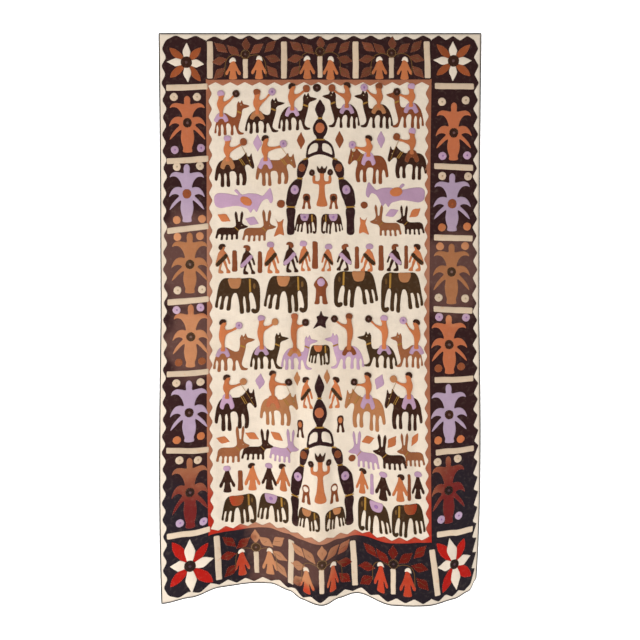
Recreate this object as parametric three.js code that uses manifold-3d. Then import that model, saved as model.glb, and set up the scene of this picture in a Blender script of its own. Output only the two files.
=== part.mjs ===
// Applique kanduri cloth, hung by its top edge.
// Millimetres. X runs across the cloth, Z up, and Y away from the viewer.
// The origin is the middle of the top edge, and the back of the cloth is at Y = 0 there.

import * as THREE from 'three';
import { mergeVertices } from 'three/addons/utils/BufferGeometryUtils.js';
import Module from 'manifold-3d';

const wasm = await Module();
wasm.setup();

// Driving sizes

const CLOTH_LENGTH = 2400;
const CLOTH_HALF_WIDTH = 675;
const GROUND_THICKNESS = 1.5;
const PATCH_THICKNESS = 1.0;
const LAYER_GAP = 0.35;
const SEAM_GAP = 0.4;
const BINDING_WIDTH = 4;
const BINDING_THICKNESS = 3.5;

// Faceting of the draped sheet

const COLUMNS = 36;
const ROWS = 20;

// Flat width at three places down the cloth

const WIDTHS = [
  { down: 0, width: 1350 },
  { down: 1200, width: 1343 },
  { down: 2400, width: 1385 },
];

// The lower end swings toward the viewer and drifts a little to the right

const SWING = { reach: 70, start: 500, power: 1.3 };
const DRIFT = { reach: 10, start: 1200, power: 1.5 };

// Folds that open toward the hem: a positive depth comes forward, a negative one goes back

const FOLDS = [
  { name: 'left corner', place: -690, width: 230, depth: 45, start: 1000, power: 1.5 },
  { name: 'left hollow', place: -265, width: 190, depth: -42, start: 1000, power: 1.5 },
  { name: 'centre ridge', place: -12, width: 110, depth: 46, start: 700, power: 1.35 },
  { name: 'middle hollow', place: 140, width: 90, depth: -22, start: 1000, power: 1.5 },
  { name: 'right ridge', place: 370, width: 180, depth: 38, start: 1100, power: 1.5 },
  { name: 'right corner', place: 700, width: 130, depth: -62, start: 1200, power: 1.6 },
];

// How far the uneven hem is drawn up across the cloth

const HEM_LIFT = { start: 1200, power: 1.1 };
const HEM = [
  { across: -675, lift: 25 },
  { across: -560, lift: 46 },
  { across: -440, lift: 76 },
  { across: -300, lift: 82 },
  { across: -230, lift: 80 },
  { across: -150, lift: 58 },
  { across: -90, lift: 32 },
  { across: 0, lift: 15 },
  { across: 75, lift: 38 },
  { across: 150, lift: 52 },
  { across: 300, lift: 13 },
  { across: 440, lift: 11 },
  { across: 560, lift: 26 },
  { across: 640, lift: 44 },
  { across: 675, lift: 95 },
];

// Border strips, as places across and down the flat cloth

const BORDER = {
  leftSeam: -477,
  rightSeam: { top: 466, hem: 457 },
  topSeam: 195,
  bottomSeam: [
    { across: -477, down: 2155 },
    { across: -350, down: 2146 },
    { across: -258, down: 2139 },
    { across: -48, down: 2144 },
    { across: 226, down: 2142 },
    { across: 466, down: 2134 },
  ],
};
const TOOTH = { pitch: 70, shallow: 11, deep: 30 };
const ZIGZAG = { base: 8, tooth: 16, pitch: 63 };

// Cream bars: places of the two ends down the side borders, or across the end borders

const BAR_WIDTH = 25;
const SIDE_BAR = { outer: 645, innerLeft: 471, innerRight: 481 };
const LEFT_BARS = [
  { outer: 227, inner: 221 },
  { outer: 533, inner: 521 },
  { outer: 825, inner: 804 },
  { outer: 1126, inner: 1111 },
  { outer: 1433, inner: 1428 },
  { outer: 1758, inner: 1776 },
  { outer: 2122, inner: 2129 },
];
const RIGHT_BARS = [
  { outer: 221, inner: 219 },
  { outer: 560, inner: 552 },
  { outer: 856, inner: 852 },
  { outer: 1160, inner: 1153 },
  { outer: 1454, inner: 1455 },
  { outer: 1761, inner: 1762 },
  { outer: 2120, inner: 2108 },
];
const TOP_BAR = { outer: 35, inner: 188 };
const TOP_BARS = [
  { outer: -460, inner: -461 },
  { outer: -151, inner: -151 },
  { outer: 148, inner: 149 },
  { outer: 445, inner: 451 },
];
const BOTTOM_BAR = { outer: 2364, inner: 2166 };
const BOTTOM_BARS = [
  { outer: -442, inner: -446 },
  { outer: -141, inner: -132 },
  { outer: 143, inner: 133 },
  { outer: 484, inner: 459 },
];

// Palms: centre of the eye, tip of the top frond, foot of the trunk and half spread

const LEFT_PALMS = [
  { across: -557, eye: 373, top: 260, foot: 493, spread: 77, colour: 'terracotta' },
  { across: -561, eye: 669, top: 544, foot: 785, spread: 75, colour: 'lilac' },
  { across: -550, eye: 966, top: 832, foot: 1084, spread: 78, colour: 'tan' },
  { across: -546, eye: 1273, top: 1134, foot: 1402, spread: 76, colour: 'terracotta' },
  { across: -551, eye: 1602, top: 1462, foot: 1728, spread: 78, colour: 'lilac' },
  { across: -550, eye: 1949, top: 1798, foot: 2100, spread: 74, colour: 'madder' },
];
const RIGHT_PALMS = [
  { across: 562, eye: 414, top: 287, foot: 526, spread: 75, colour: 'terracotta' },
  { across: 557, eye: 711, top: 583, foot: 823, spread: 78, colour: 'lilac' },
  { across: 556, eye: 997, top: 878, foot: 1130, spread: 78, colour: 'tan' },
  { across: 545, eye: 1305, top: 1178, foot: 1428, spread: 76, colour: 'terracotta' },
  { across: 540, eye: 1605, top: 1474, foot: 1724, spread: 76, colour: 'lilac' },
  { across: 534, eye: 1930, top: 1783, foot: 2068, spread: 72, colour: 'madder' },
];

// Half outline of a palm: across as a share of the spread, and down as a share of the
// top frond's height (negative) or of the trunk's height (positive)

const PALM_EDGE = [
  { across: 0.13, down: -0.95 },
  { across: 0.17, down: -0.84 },
  { across: 0.17, down: -0.7 },
  { across: 0.42, down: -0.72 },
  { across: 0.68, down: -0.73 },
  { across: 0.88, down: -0.66 },
  { across: 0.95, down: -0.55 },
  { across: 0.8, down: -0.58 },
  { across: 0.58, down: -0.56 },
  { across: 0.42, down: -0.46 },
  { across: 0.33, down: -0.35 },
  { across: 0.29, down: -0.21 },
  { across: 0.46, down: -0.23 },
  { across: 0.7, down: -0.2 },
  { across: 0.9, down: -0.07 },
  { across: 1, down: 0.12 },
  { across: 0.83, down: 0.04 },
  { across: 0.62, down: 0.01 },
  { across: 0.44, down: 0.07 },
  { across: 0.62, down: 0.2 },
  { across: 0.84, down: 0.37 },
  { across: 0.97, down: 0.58 },
  { across: 0.74, down: 0.46 },
  { across: 0.52, down: 0.32 },
  { across: 0.33, down: 0.24 },
  { across: 0.36, down: 0.5 },
  { across: 0.31, down: 0.72 },
  { across: 0.24, down: 0.86 },
  { across: 0.25, down: 1 },
];
const PALM_CROWN = { across: 0, down: -1.0 };

// Corner flowers: how full the petals are, the centre, and from there the petal tips, clockwise

const FLOWERS = [
  {
    name: 'top_left',
    fullness: 0.88,
    across: -559,
    down: 122,
    upright: [{ across: 2, down: -82 }, { across: 76, down: 8 }, { across: 6, down: 84 }, { across: -84, down: -2 }],
    slanted: [{ across: 63, down: -61 }, { across: 60, down: 80 }, { across: -70, down: 64 }, { across: -72, down: -61 }],
  },
  {
    name: 'top_right',
    fullness: 0.88,
    across: 557,
    down: 117,
    upright: [{ across: -2, down: -84 }, { across: 80, down: -2 }, { across: 0, down: 84 }, { across: -84, down: -4 }],
    slanted: [{ across: 72, down: -70 }, { across: 74, down: 62 }, { across: -70, down: 60 }, { across: -70, down: -71 }],
  },
  {
    name: 'bottom_left',
    fullness: 1.15,
    across: -556,
    down: 2264,
    upright: [{ across: 1, down: -116 }, { across: 97, down: -2 }, { across: 5, down: 118 }, { across: -81, down: -14 }],
    slanted: [{ across: 76, down: -78 }, { across: 91, down: 104 }, { across: -82, down: 72 }, { across: -70, down: -115 }],
  },
  {
    name: 'bottom_right',
    fullness: 1.18,
    across: 561,
    down: 2248,
    upright: [{ across: -26, down: -116 }, { across: 77, down: -11 }, { across: 10, down: 116 }, { across: -79, down: -1 }],
    slanted: [{ across: 44, down: -100 }, { across: 84, down: 86 }, { across: -55, down: 112 }, { across: -82, down: -106 }],
  },
];
const PETAL = { root: 15, shoulder: 0.54, uprightHalfWidth: 19, slantedHalfWidth: 17 };

// Dyed cottons

const COTTONS = {
  cream: { colour: 0xe6dcc8, roughness: 0.92 },
  binding: { colour: 0x2c2a2c, roughness: 0.9 },
  black: { colour: 0x2f2226, roughness: 0.93 },
  madder: { colour: 0xa8402a, roughness: 0.92 },
  terracotta: { colour: 0xc07a52, roughness: 0.92 },
  lilac: { colour: 0xbba4b6, roughness: 0.92 },
  tan: { colour: 0xb98560, roughness: 0.92 },
};

// The draped sheet

function grow(down, { start, power }) {
  const share = Math.max(0, (down - start) / (CLOTH_LENGTH - start));
  return share ** power;
}

function foldDepth(across, down) {
  let forward = SWING.reach * grow(down, SWING);
  for (const fold of FOLDS) {
    const offset = (across - fold.place) / fold.width;
    forward += fold.depth * grow(down, fold) * Math.exp(-offset * offset);
  }
  return -forward;
}

function between(table, key, value, at, ease) {
  let upper = table.findIndex((row) => row[key] >= at);
  if (upper === -1) upper = table.length - 1;
  if (upper === 0) upper = 1;
  const low = table[upper - 1];
  const high = table[upper];
  const share = (at - low[key]) / (high[key] - low[key]);
  const kept = Math.min(1, Math.max(0, share));
  const eased = ease ? kept * kept * (3 - 2 * kept) : kept;
  return low[value] + (high[value] - low[value]) * eased;
}

const GROUND_INSET = BINDING_WIDTH + SEAM_GAP;
const GROUND = {
  left: -CLOTH_HALF_WIDTH + GROUND_INSET,
  right: CLOTH_HALF_WIDTH - GROUND_INSET,
  top: GROUND_INSET,
  bottom: CLOTH_LENGTH - GROUND_INSET,
};

// Each row of the grid keeps its flat width and each column its flat length

function drapeGrid() {
  const grid = [];
  const stepAcross = (GROUND.right - GROUND.left) / COLUMNS;
  const stepDown = (GROUND.bottom - GROUND.top) / ROWS;
  const middle = COLUMNS / 2;
  for (let row = 0; row <= ROWS; row += 1) {
    const down = GROUND.top + row * stepDown;
    const stretch = between(WIDTHS, 'down', 'width', down, false) / (2 * CLOTH_HALF_WIDTH);
    const points = [];
    for (let column = 0; column <= COLUMNS; column += 1) {
      const across = GROUND.left + column * stepAcross;
      points.push({ across, down, x: 0, y: foldDepth(across, down), z: -down });
    }
    points[middle].x = DRIFT.reach * grow(down, DRIFT);
    for (let column = middle + 1; column <= COLUMNS; column += 1) {
      const rise = points[column].y - points[column - 1].y;
      points[column].x = points[column - 1].x + Math.sqrt((stepAcross * stretch) ** 2 - rise ** 2);
    }
    for (let column = middle - 1; column >= 0; column -= 1) {
      const rise = points[column].y - points[column + 1].y;
      points[column].x = points[column + 1].x - Math.sqrt((stepAcross * stretch) ** 2 - rise ** 2);
    }
    grid.push(points);
  }
  for (let column = 0; column <= COLUMNS; column += 1) {
    for (let row = 1; row <= ROWS; row += 1) {
      const above = grid[row - 1][column];
      const point = grid[row][column];
      const lean = (point.y - above.y) ** 2 + (point.x - above.x) ** 2;
      point.z = above.z - Math.sqrt(stepDown ** 2 - lean);
    }
  }
  for (const points of grid) {
    for (const point of points) {
      const lift = between(HEM, 'across', 'lift', point.across, true);
      point.z += lift * grow(point.down, HEM_LIFT);
    }
  }
  return grid;
}

const grid = drapeGrid();

// A place on the flat cloth, moved to where it hangs

function hang(across, down) {
  const columnShare = ((across - GROUND.left) / (GROUND.right - GROUND.left)) * COLUMNS;
  const rowShare = ((down - GROUND.top) / (GROUND.bottom - GROUND.top)) * ROWS;
  const column = Math.min(COLUMNS - 1, Math.max(0, Math.floor(columnShare)));
  const row = Math.min(ROWS - 1, Math.max(0, Math.floor(rowShare)));
  const a = columnShare - column;
  const b = rowShare - row;
  const place = {};
  for (const axis of ['x', 'y', 'z']) {
    const above = grid[row][column][axis] * (1 - a) + grid[row][column + 1][axis] * a;
    const below = grid[row + 1][column][axis] * (1 - a) + grid[row + 1][column + 1][axis] * a;
    place[axis] = above * (1 - b) + below * b;
  }
  return place;
}

// Solids

function solidFrom(positions, faces) {
  const mesh = new wasm.Mesh({
    numProp: 3,
    vertProperties: Float32Array.from(positions),
    triVerts: Uint32Array.from(faces),
  });
  return new wasm.Manifold(mesh);
}

// The closed layer of draped cloth between two distances in front of the ground's back

function layer(back, front) {
  const width = COLUMNS + 1;
  const count = width * (ROWS + 1);
  const positions = [];
  for (const forward of [back, front]) {
    for (const points of grid) {
      for (const point of points) positions.push(point.x, point.y - forward, point.z);
    }
  }
  const faces = [];
  const quad = (a, b, c, d) => faces.push(a, b, c, a, c, d);
  for (let row = 0; row < ROWS; row += 1) {
    for (let column = 0; column < COLUMNS; column += 1) {
      const near = row * width + column;
      const below = near + width;
      quad(near, near + 1, below + 1, below);
      quad(count + near, count + below, count + below + 1, count + near + 1);
    }
    const leftEdge = row * width;
    const rightEdge = leftEdge + COLUMNS;
    quad(leftEdge, leftEdge + width, count + leftEdge + width, count + leftEdge);
    quad(rightEdge, count + rightEdge, count + rightEdge + width, rightEdge + width);
  }
  for (let column = 0; column < COLUMNS; column += 1) {
    const bottom = ROWS * width + column;
    quad(column, count + column, count + column + 1, column + 1);
    quad(bottom, bottom + 1, count + bottom + 1, count + bottom);
  }
  return solidFrom(positions, faces);
}

// The rolled binding: a closed strip around the ground's four edges

function bindingRing() {
  const stations = [];
  for (let column = 0; column <= COLUMNS; column += 1) stations.push([column, 0]);
  for (let row = 1; row <= ROWS; row += 1) stations.push([COLUMNS, row]);
  for (let column = COLUMNS - 1; column >= 0; column -= 1) stations.push([column, ROWS]);
  for (let row = ROWS - 1; row > 0; row -= 1) stations.push([0, row]);
  const positions = [];
  for (const [column, row] of stations) {
    const { across, down } = grid[row][column];
    const outAcross = (column === COLUMNS ? 1 : 0) - (column === 0 ? 1 : 0);
    const outDown = (row === ROWS ? 1 : 0) - (row === 0 ? 1 : 0);
    for (const [out, forward] of [
      [SEAM_GAP, BINDING_THICKNESS],
      [GROUND_INSET, BINDING_THICKNESS],
      [GROUND_INSET, 0],
      [SEAM_GAP, 0],
    ]) {
      const place = hang(across + outAcross * out, down + outDown * out);
      positions.push(place.x, place.y - forward, place.z);
    }
  }
  const faces = [];
  for (let station = 0; station < stations.length; station += 1) {
    const next = (station + 1) % stations.length;
    for (let corner = 0; corner < 4; corner += 1) {
      const a = station * 4 + corner;
      const b = station * 4 + ((corner + 1) % 4);
      const c = next * 4 + ((corner + 1) % 4);
      const d = next * 4 + corner;
      faces.push(a, c, b, a, d, c);
    }
  }
  return solidFrom(positions, faces);
}

// A flat outline, hung and pushed through the cloth from front to back

function cutter(outline) {
  const shape = new THREE.Shape(
    outline.map(({ across, down }) => {
      const place = hang(across, down);
      return new THREE.Vector2(place.x, place.z);
    }),
  );
  const depth = 400;
  const geometry = new THREE.ExtrudeGeometry(shape, { depth, bevelEnabled: false });
  geometry.rotateX(Math.PI / 2);
  geometry.translate(0, depth / 8, 0);
  geometry.deleteAttribute('normal');
  geometry.deleteAttribute('uv');
  const merged = mergeVertices(geometry, 1e-4);
  return solidFrom(merged.attributes.position.array, merged.index.array);
}

const LAYERS = [];
for (let level = 0; level < 3; level += 1) {
  const back = GROUND_THICKNESS + LAYER_GAP + level * (PATCH_THICKNESS + LAYER_GAP);
  LAYERS.push(layer(back, back + PATCH_THICKNESS));
}

const group = new THREE.Group();
group.name = 'kanduri_cloth';

function addSolid(name, solid, cotton) {
  const mesh = solid.getMesh();
  const geometry = new THREE.BufferGeometry();
  geometry.setAttribute('position', new THREE.BufferAttribute(mesh.vertProperties.slice(), 3));
  geometry.setIndex(new THREE.BufferAttribute(mesh.triVerts.slice(), 1));
  geometry.computeVertexNormals();
  const material = new THREE.MeshStandardMaterial({
    color: COTTONS[cotton].colour,
    roughness: COTTONS[cotton].roughness,
    metalness: 0,
  });
  const part = new THREE.Mesh(geometry, material);
  part.name = name;
  group.add(part);
}

function addPatch(name, level, outline, cotton) {
  addSolid(name, LAYERS[level].intersect(cutter(outline)), cotton);
}

// Ground and binding

addSolid('ground_cloth', layer(0, GROUND_THICKNESS), 'cream');
addSolid('edge_binding', bindingRing(), 'binding');

// Toothed and zigzag edges: a run of points from one end to the other, set in by turns

function teeth(from, to, pitch, crest, root) {
  const count = Math.max(1, Math.round(Math.abs(to - from) / pitch));
  const points = [];
  for (let tooth = 0; tooth < count; tooth += 1) {
    const start = from + ((to - from) * tooth) / count;
    const middle = from + ((to - from) * (tooth + 0.5)) / count;
    points.push({ along: start, inset: root }, { along: middle, inset: crest });
  }
  points.push({ along: to, inset: root });
  return points;
}

function topEdge(from, to) {
  return teeth(from, to, TOOTH.pitch, TOOTH.shallow, TOOTH.deep)
    .map(({ along, inset }) => ({ across: along, down: inset }));
}

function bottomEdge(from, to) {
  return teeth(from, to, TOOTH.pitch, TOOTH.shallow, TOOTH.deep)
    .map(({ along, inset }) => ({ across: along, down: CLOTH_LENGTH - inset }));
}

function sideEdge(side, from, to) {
  return teeth(from, to, TOOTH.pitch, TOOTH.shallow, TOOTH.deep)
    .map(({ along, inset }) => ({ across: side * (CLOTH_HALF_WIDTH - inset), down: along }));
}

function rightSeamAt(down) {
  const { top, hem } = BORDER.rightSeam;
  return top + ((hem - top) * down) / CLOTH_LENGTH;
}

function bottomSeamAt(across) {
  return between(BORDER.bottomSeam, 'across', 'down', across, false);
}

// A seam down the cloth follows its hang at every row of the sheet between two places

function seamDown(from, to, acrossAt) {
  const step = (GROUND.bottom - GROUND.top) / ROWS;
  const points = [];
  for (let row = 1; row < ROWS; row += 1) {
    const down = GROUND.top + row * step;
    if (down > Math.min(from, to) && down < Math.max(from, to)) {
      points.push({ across: acrossAt(down), down });
    }
  }
  return from < to ? points : points.reverse();
}

// A seam across the cloth does so at every column

function seamAcross(from, to, downAt) {
  const step = (GROUND.right - GROUND.left) / COLUMNS;
  const points = [];
  for (let column = 1; column < COLUMNS; column += 1) {
    const across = GROUND.left + column * step;
    if (across > Math.min(from, to) && across < Math.max(from, to)) {
      points.push({ across, down: downAt(across) });
    }
  }
  return from < to ? points : points.reverse();
}

const leftSeamAt = () => BORDER.leftSeam;

// Dark borders: the side strips run the whole height, the end strips lie between them

const CORNER = CLOTH_HALF_WIDTH - TOOTH.deep;

addPatch('border_left', 0, [
  ...topEdge(BORDER.leftSeam, -CORNER),
  ...sideEdge(-1, TOOTH.deep, CLOTH_LENGTH - TOOTH.deep).slice(1, -1),
  ...bottomEdge(-CORNER, BORDER.leftSeam),
  ...seamDown(CLOTH_LENGTH - TOOTH.deep, TOOTH.deep, leftSeamAt),
], 'black');

addPatch('border_right', 0, [
  ...bottomEdge(rightSeamAt(CLOTH_LENGTH), CORNER),
  ...sideEdge(1, CLOTH_LENGTH - TOOTH.deep, TOOTH.deep).slice(1, -1),
  ...topEdge(CORNER, rightSeamAt(0)),
  ...seamDown(TOOTH.deep, CLOTH_LENGTH - TOOTH.deep, rightSeamAt),
], 'black');

addPatch('border_top', 0, [
  { across: BORDER.leftSeam + SEAM_GAP, down: BORDER.topSeam },
  { across: rightSeamAt(BORDER.topSeam) - SEAM_GAP, down: BORDER.topSeam },
  ...topEdge(rightSeamAt(0) - SEAM_GAP, BORDER.leftSeam + SEAM_GAP),
], 'black');

const bottomStrip = {
  left: BORDER.leftSeam + SEAM_GAP,
  right: rightSeamAt(bottomSeamAt(BORDER.rightSeam.hem)) - SEAM_GAP,
};

addPatch('border_bottom', 0, [
  ...bottomEdge(bottomStrip.left, rightSeamAt(CLOTH_LENGTH) - SEAM_GAP),
  { across: bottomStrip.right, down: bottomSeamAt(bottomStrip.right) },
  ...seamAcross(bottomStrip.right, bottomStrip.left, bottomSeamAt),
  { across: bottomStrip.left, down: bottomSeamAt(bottomStrip.left) },
], 'black');

// Madder strips along the inside of the borders, teeth toward the field

const FIELD = {
  left: BORDER.leftSeam + SEAM_GAP,
  top: BORDER.topSeam + SEAM_GAP,
};

function zigzagRun(from, to) {
  return teeth(from, to, ZIGZAG.pitch, ZIGZAG.base + ZIGZAG.tooth, ZIGZAG.base);
}

// The side runs keep plain ends, clear of the end strips' teeth

function sideZigzagRun(from, to) {
  const plain = Math.sign(to - from) * (ZIGZAG.base + ZIGZAG.tooth + SEAM_GAP);
  return [
    { along: from, inset: ZIGZAG.base },
    ...zigzagRun(from + plain, to - plain),
    { along: to, inset: ZIGZAG.base },
  ];
}

// The end strips start and end on a full tooth, which fills the field's corners

function endZigzagRun(from, to) {
  return teeth(from, to, ZIGZAG.pitch, ZIGZAG.base, ZIGZAG.base + ZIGZAG.tooth);
}

const zigzagSeamAt = (across) => bottomSeamAt(across) - SEAM_GAP;
const sideRun = { from: FIELD.top, to: zigzagSeamAt(BORDER.leftSeam) - 8 * SEAM_GAP };
const rightRun = { from: FIELD.top, to: zigzagSeamAt(BORDER.rightSeam.hem) - 2 * SEAM_GAP };

addPatch('zigzag_left', 0, [
  { across: FIELD.left, down: sideRun.from },
  ...seamDown(sideRun.from, sideRun.to, () => FIELD.left),
  { across: FIELD.left, down: sideRun.to },
  ...sideZigzagRun(sideRun.to, sideRun.from)
    .map(({ along, inset }) => ({ across: FIELD.left + inset, down: along })),
], 'terracotta');

addPatch('zigzag_right', 0, [
  { across: rightSeamAt(rightRun.to) - SEAM_GAP, down: rightRun.to },
  ...seamDown(rightRun.to, rightRun.from, (down) => rightSeamAt(down) - SEAM_GAP),
  { across: rightSeamAt(rightRun.from) - SEAM_GAP, down: rightRun.from },
  ...sideZigzagRun(rightRun.from, rightRun.to)
    .map(({ along, inset }) => ({ across: rightSeamAt(along) - SEAM_GAP - inset, down: along })),
], 'terracotta');

const endLeft = FIELD.left + ZIGZAG.base + SEAM_GAP;
const topRight = rightSeamAt(FIELD.top) - 2 * SEAM_GAP - ZIGZAG.base;
const bottomRight = rightSeamAt(rightRun.to) - 2 * SEAM_GAP - ZIGZAG.base;

addPatch('zigzag_top', 0, [
  ...endZigzagRun(endLeft, topRight)
    .map(({ along, inset }) => ({ across: along, down: FIELD.top + inset })),
  { across: topRight, down: FIELD.top },
  { across: endLeft, down: FIELD.top },
], 'terracotta');

addPatch('zigzag_bottom', 0, [
  { across: endLeft, down: zigzagSeamAt(endLeft) },
  ...seamAcross(endLeft, bottomRight, zigzagSeamAt),
  { across: bottomRight, down: zigzagSeamAt(bottomRight) },
  ...endZigzagRun(bottomRight, endLeft)
    .map(({ along, inset }) => ({ across: along, down: zigzagSeamAt(along) - inset })),
], 'terracotta');

// Cream bars

function bar(start, end) {
  const along = { across: end.across - start.across, down: end.down - start.down };
  const length = Math.hypot(along.across, along.down);
  const half = {
    across: (-along.down / length) * (BAR_WIDTH / 2),
    down: (along.across / length) * (BAR_WIDTH / 2),
  };
  return [
    { across: start.across - half.across, down: start.down - half.down },
    { across: end.across - half.across, down: end.down - half.down },
    { across: end.across + half.across, down: end.down + half.down },
    { across: start.across + half.across, down: start.down + half.down },
  ];
}

LEFT_BARS.forEach(({ outer, inner }, index) => {
  const ends = bar(
    { across: -SIDE_BAR.outer, down: outer },
    { across: -SIDE_BAR.innerLeft, down: inner },
  );
  addPatch(`bar_left_${index + 1}`, 1, ends, 'cream');
});

RIGHT_BARS.forEach(({ outer, inner }, index) => {
  const ends = bar(
    { across: SIDE_BAR.outer, down: outer },
    { across: SIDE_BAR.innerRight, down: inner },
  );
  addPatch(`bar_right_${index + 1}`, 1, ends, 'cream');
});

TOP_BARS.forEach(({ outer, inner }, index) => {
  const ends = bar(
    { across: outer, down: TOP_BAR.outer },
    { across: inner, down: TOP_BAR.inner },
  );
  addPatch(`bar_top_${index + 1}`, 1, ends, 'cream');
});

BOTTOM_BARS.forEach(({ outer, inner }, index) => {
  const ends = bar(
    { across: outer, down: BOTTOM_BAR.outer },
    { across: inner, down: BOTTOM_BAR.inner },
  );
  addPatch(`bar_bottom_${index + 1}`, 1, ends, 'cream');
});

// Palms

function palm({ across, eye, top, foot, spread }) {
  const place = (share, side) => ({
    across: across + side * share.across * spread,
    down: eye + share.down * (share.down < 0 ? eye - top : foot - eye),
  });
  return [
    place(PALM_CROWN, 1),
    ...PALM_EDGE.map((share) => place(share, 1)),
    ...PALM_EDGE.map((share) => place(share, -1)).reverse(),
  ];
}

for (const [side, palms] of [['left', LEFT_PALMS], ['right', RIGHT_PALMS]]) {
  palms.forEach((row, index) => {
    addPatch(`palm_${side}_${index + 1}`, 1, palm(row), row.colour);
  });
}

// Corner flowers: a diagonal four-petal piece under an upright one

function fourPetals(flower, tips, halfWidth) {
  const heading = (tip) => {
    const reach = Math.hypot(tip.across, tip.down);
    return { across: tip.across / reach, down: tip.down / reach, reach };
  };
  return tips.flatMap((tip, index) => {
    const before = heading(tips[(index + tips.length - 1) % tips.length]);
    const petal = heading(tip);
    const fork = heading({ across: before.across + petal.across, down: before.down + petal.down });
    const shoulder = (side) => ({
      across: flower.across + tip.across * PETAL.shoulder - petal.down * halfWidth * side,
      down: flower.down + tip.down * PETAL.shoulder + petal.across * halfWidth * side,
    });
    return [
      {
        across: flower.across + fork.across * PETAL.root,
        down: flower.down + fork.down * PETAL.root,
      },
      shoulder(-1),
      { across: flower.across + tip.across, down: flower.down + tip.down },
      shoulder(1),
    ];
  });
}

for (const flower of FLOWERS) {
  const cotton = flower.name.startsWith('top') ? 'terracotta' : 'madder';
  const slanted = fourPetals(flower, flower.slanted, PETAL.slantedHalfWidth * flower.fullness);
  const upright = fourPetals(flower, flower.upright, PETAL.uprightHalfWidth * flower.fullness);
  addPatch(`flower_${flower.name}_diagonal`, 1, slanted, cotton);
  addPatch(`flower_${flower.name}_cross`, 2, upright, 'cream');
}

export default group;
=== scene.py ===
"""Applique kanduri cloth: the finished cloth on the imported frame.

Flat places are written as (across, down) in millimetres on the uncut cloth: across runs from the
middle to the viewer's right, and down runs from the top edge to the hem. Blender works in metres.
"""

import math

import bpy
import numpy as np
from bpy.props import FloatProperty, FloatVectorProperty, PointerProperty
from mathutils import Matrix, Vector
from mathutils.geometry import delaunay_2d_cdt


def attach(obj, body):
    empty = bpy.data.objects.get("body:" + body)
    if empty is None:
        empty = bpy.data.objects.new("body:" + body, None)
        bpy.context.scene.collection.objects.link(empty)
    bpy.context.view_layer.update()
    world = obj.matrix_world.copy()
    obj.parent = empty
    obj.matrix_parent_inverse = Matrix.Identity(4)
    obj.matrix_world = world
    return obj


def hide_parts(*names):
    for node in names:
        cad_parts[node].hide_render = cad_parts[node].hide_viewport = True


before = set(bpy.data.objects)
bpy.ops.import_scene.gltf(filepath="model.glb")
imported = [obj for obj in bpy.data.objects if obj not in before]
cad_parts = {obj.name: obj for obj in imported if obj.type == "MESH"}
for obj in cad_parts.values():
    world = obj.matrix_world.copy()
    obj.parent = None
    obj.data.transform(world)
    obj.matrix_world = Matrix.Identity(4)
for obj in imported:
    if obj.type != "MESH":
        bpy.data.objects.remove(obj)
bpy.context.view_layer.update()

bl_info = {
    "name": "Applique kanduri cloth",
    "version": (1, 0, 0),
    "blender": (4, 5, 0),
    "location": "View3D > Sidebar > Kanduri",
    "description": "Builds a hung cotton cloth with applique borders, palms, riders and shrines",
    "category": "Object",
}


# Drape: the same folds, swing and uneven hem as the solids, in millimetres

CLOTH_LENGTH = 2400.0
CLOTH_HALF_WIDTH = 675.0

WIDTHS = ((0, 1350), (1200, 1343), (2400, 1385))
SWING = {"reach": 70, "start": 500, "power": 1.3}
DRIFT = {"reach": 10, "start": 1200, "power": 1.5}
HEM_LIFT = {"start": 1200, "power": 1.1}

# Folds: place across, width, depth (positive comes forward), start down, power
FOLDS = (
    (-690, 230, 45, 1000, 1.5),
    (-265, 190, -42, 1000, 1.5),
    (-12, 110, 46, 700, 1.35),
    (140, 90, -22, 1000, 1.5),
    (370, 180, 38, 1100, 1.5),
    (700, 130, -62, 1200, 1.6),
)

# Uneven hem: place across, how far it is drawn up
HEM = (
    (-675, 25), (-560, 46), (-440, 76), (-300, 82), (-230, 80), (-150, 58), (-90, 32), (0, 15),
    (75, 38), (150, 52), (300, 13), (440, 11), (560, 26), (640, 44), (675, 95),
)

# The top edge hangs still for this far, then creases and slack set in
STILL_TOP = 60

# Creases: start and end (across, down), half width, depth (negative is a trough)
CREASES = (
    ((-88, 820), (-94, 2396), 24, -12.5),
    ((-148, 820), (-158, 2396), 34, 7.5),
    ((42, 700), (56, 2396), 24, -10.5),
    ((-26, 1100), (-24, 2396), 20, 4.5),
    ((-250, 1350), (-300, 2300), 52, -4.5),
    ((228, 1150), (212, 2280), 28, -8.5),
    ((-420, 1400), (-404, 2380), 26, -6.0),
    ((392, 1250), (402, 2300), 22, -9.5),
    ((520, 1320), (540, 2380), 28, -4.0),
    ((610, 1700), (604, 2390), 24, 3.0),
    ((-600, 1400), (-612, 2380), 34, 3.4),
    ((-180, 1500), (-196, 2390), 26, 3.4),
    ((-470, 200), (-476, 2150), 12, -1.4),
    ((462, 200), (458, 2130), 12, -1.4),
    ((-460, 203), (458, 200), 10, -1.2),
    ((-300, 260), (-190, 860), 60, -2.6),
    ((300, 240), (240, 900), 66, -2.8),
    ((-40, 300), (-20, 820), 46, 2.4),
    ((90, 900), (150, 1500), 40, -2.6),
)


def growth(down, start, power):
    """Return how far a fold has opened at a place down the cloth, from 0 to 1."""
    return np.clip((down - start) / (CLOTH_LENGTH - start), 0, None) ** power


def eased(table, at):
    """Read a table of (place, value) with a soft step between its rows."""
    places = np.array([row[0] for row in table], float)
    values = np.array([row[1] for row in table], float)
    index = np.clip(np.searchsorted(places, at) - 1, 0, len(table) - 2)
    share = np.clip((at - places[index]) / (places[index + 1] - places[index]), 0, 1)
    share = share * share * (3 - 2 * share)
    return values[index] * (1 - share) + values[index + 1] * share


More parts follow.
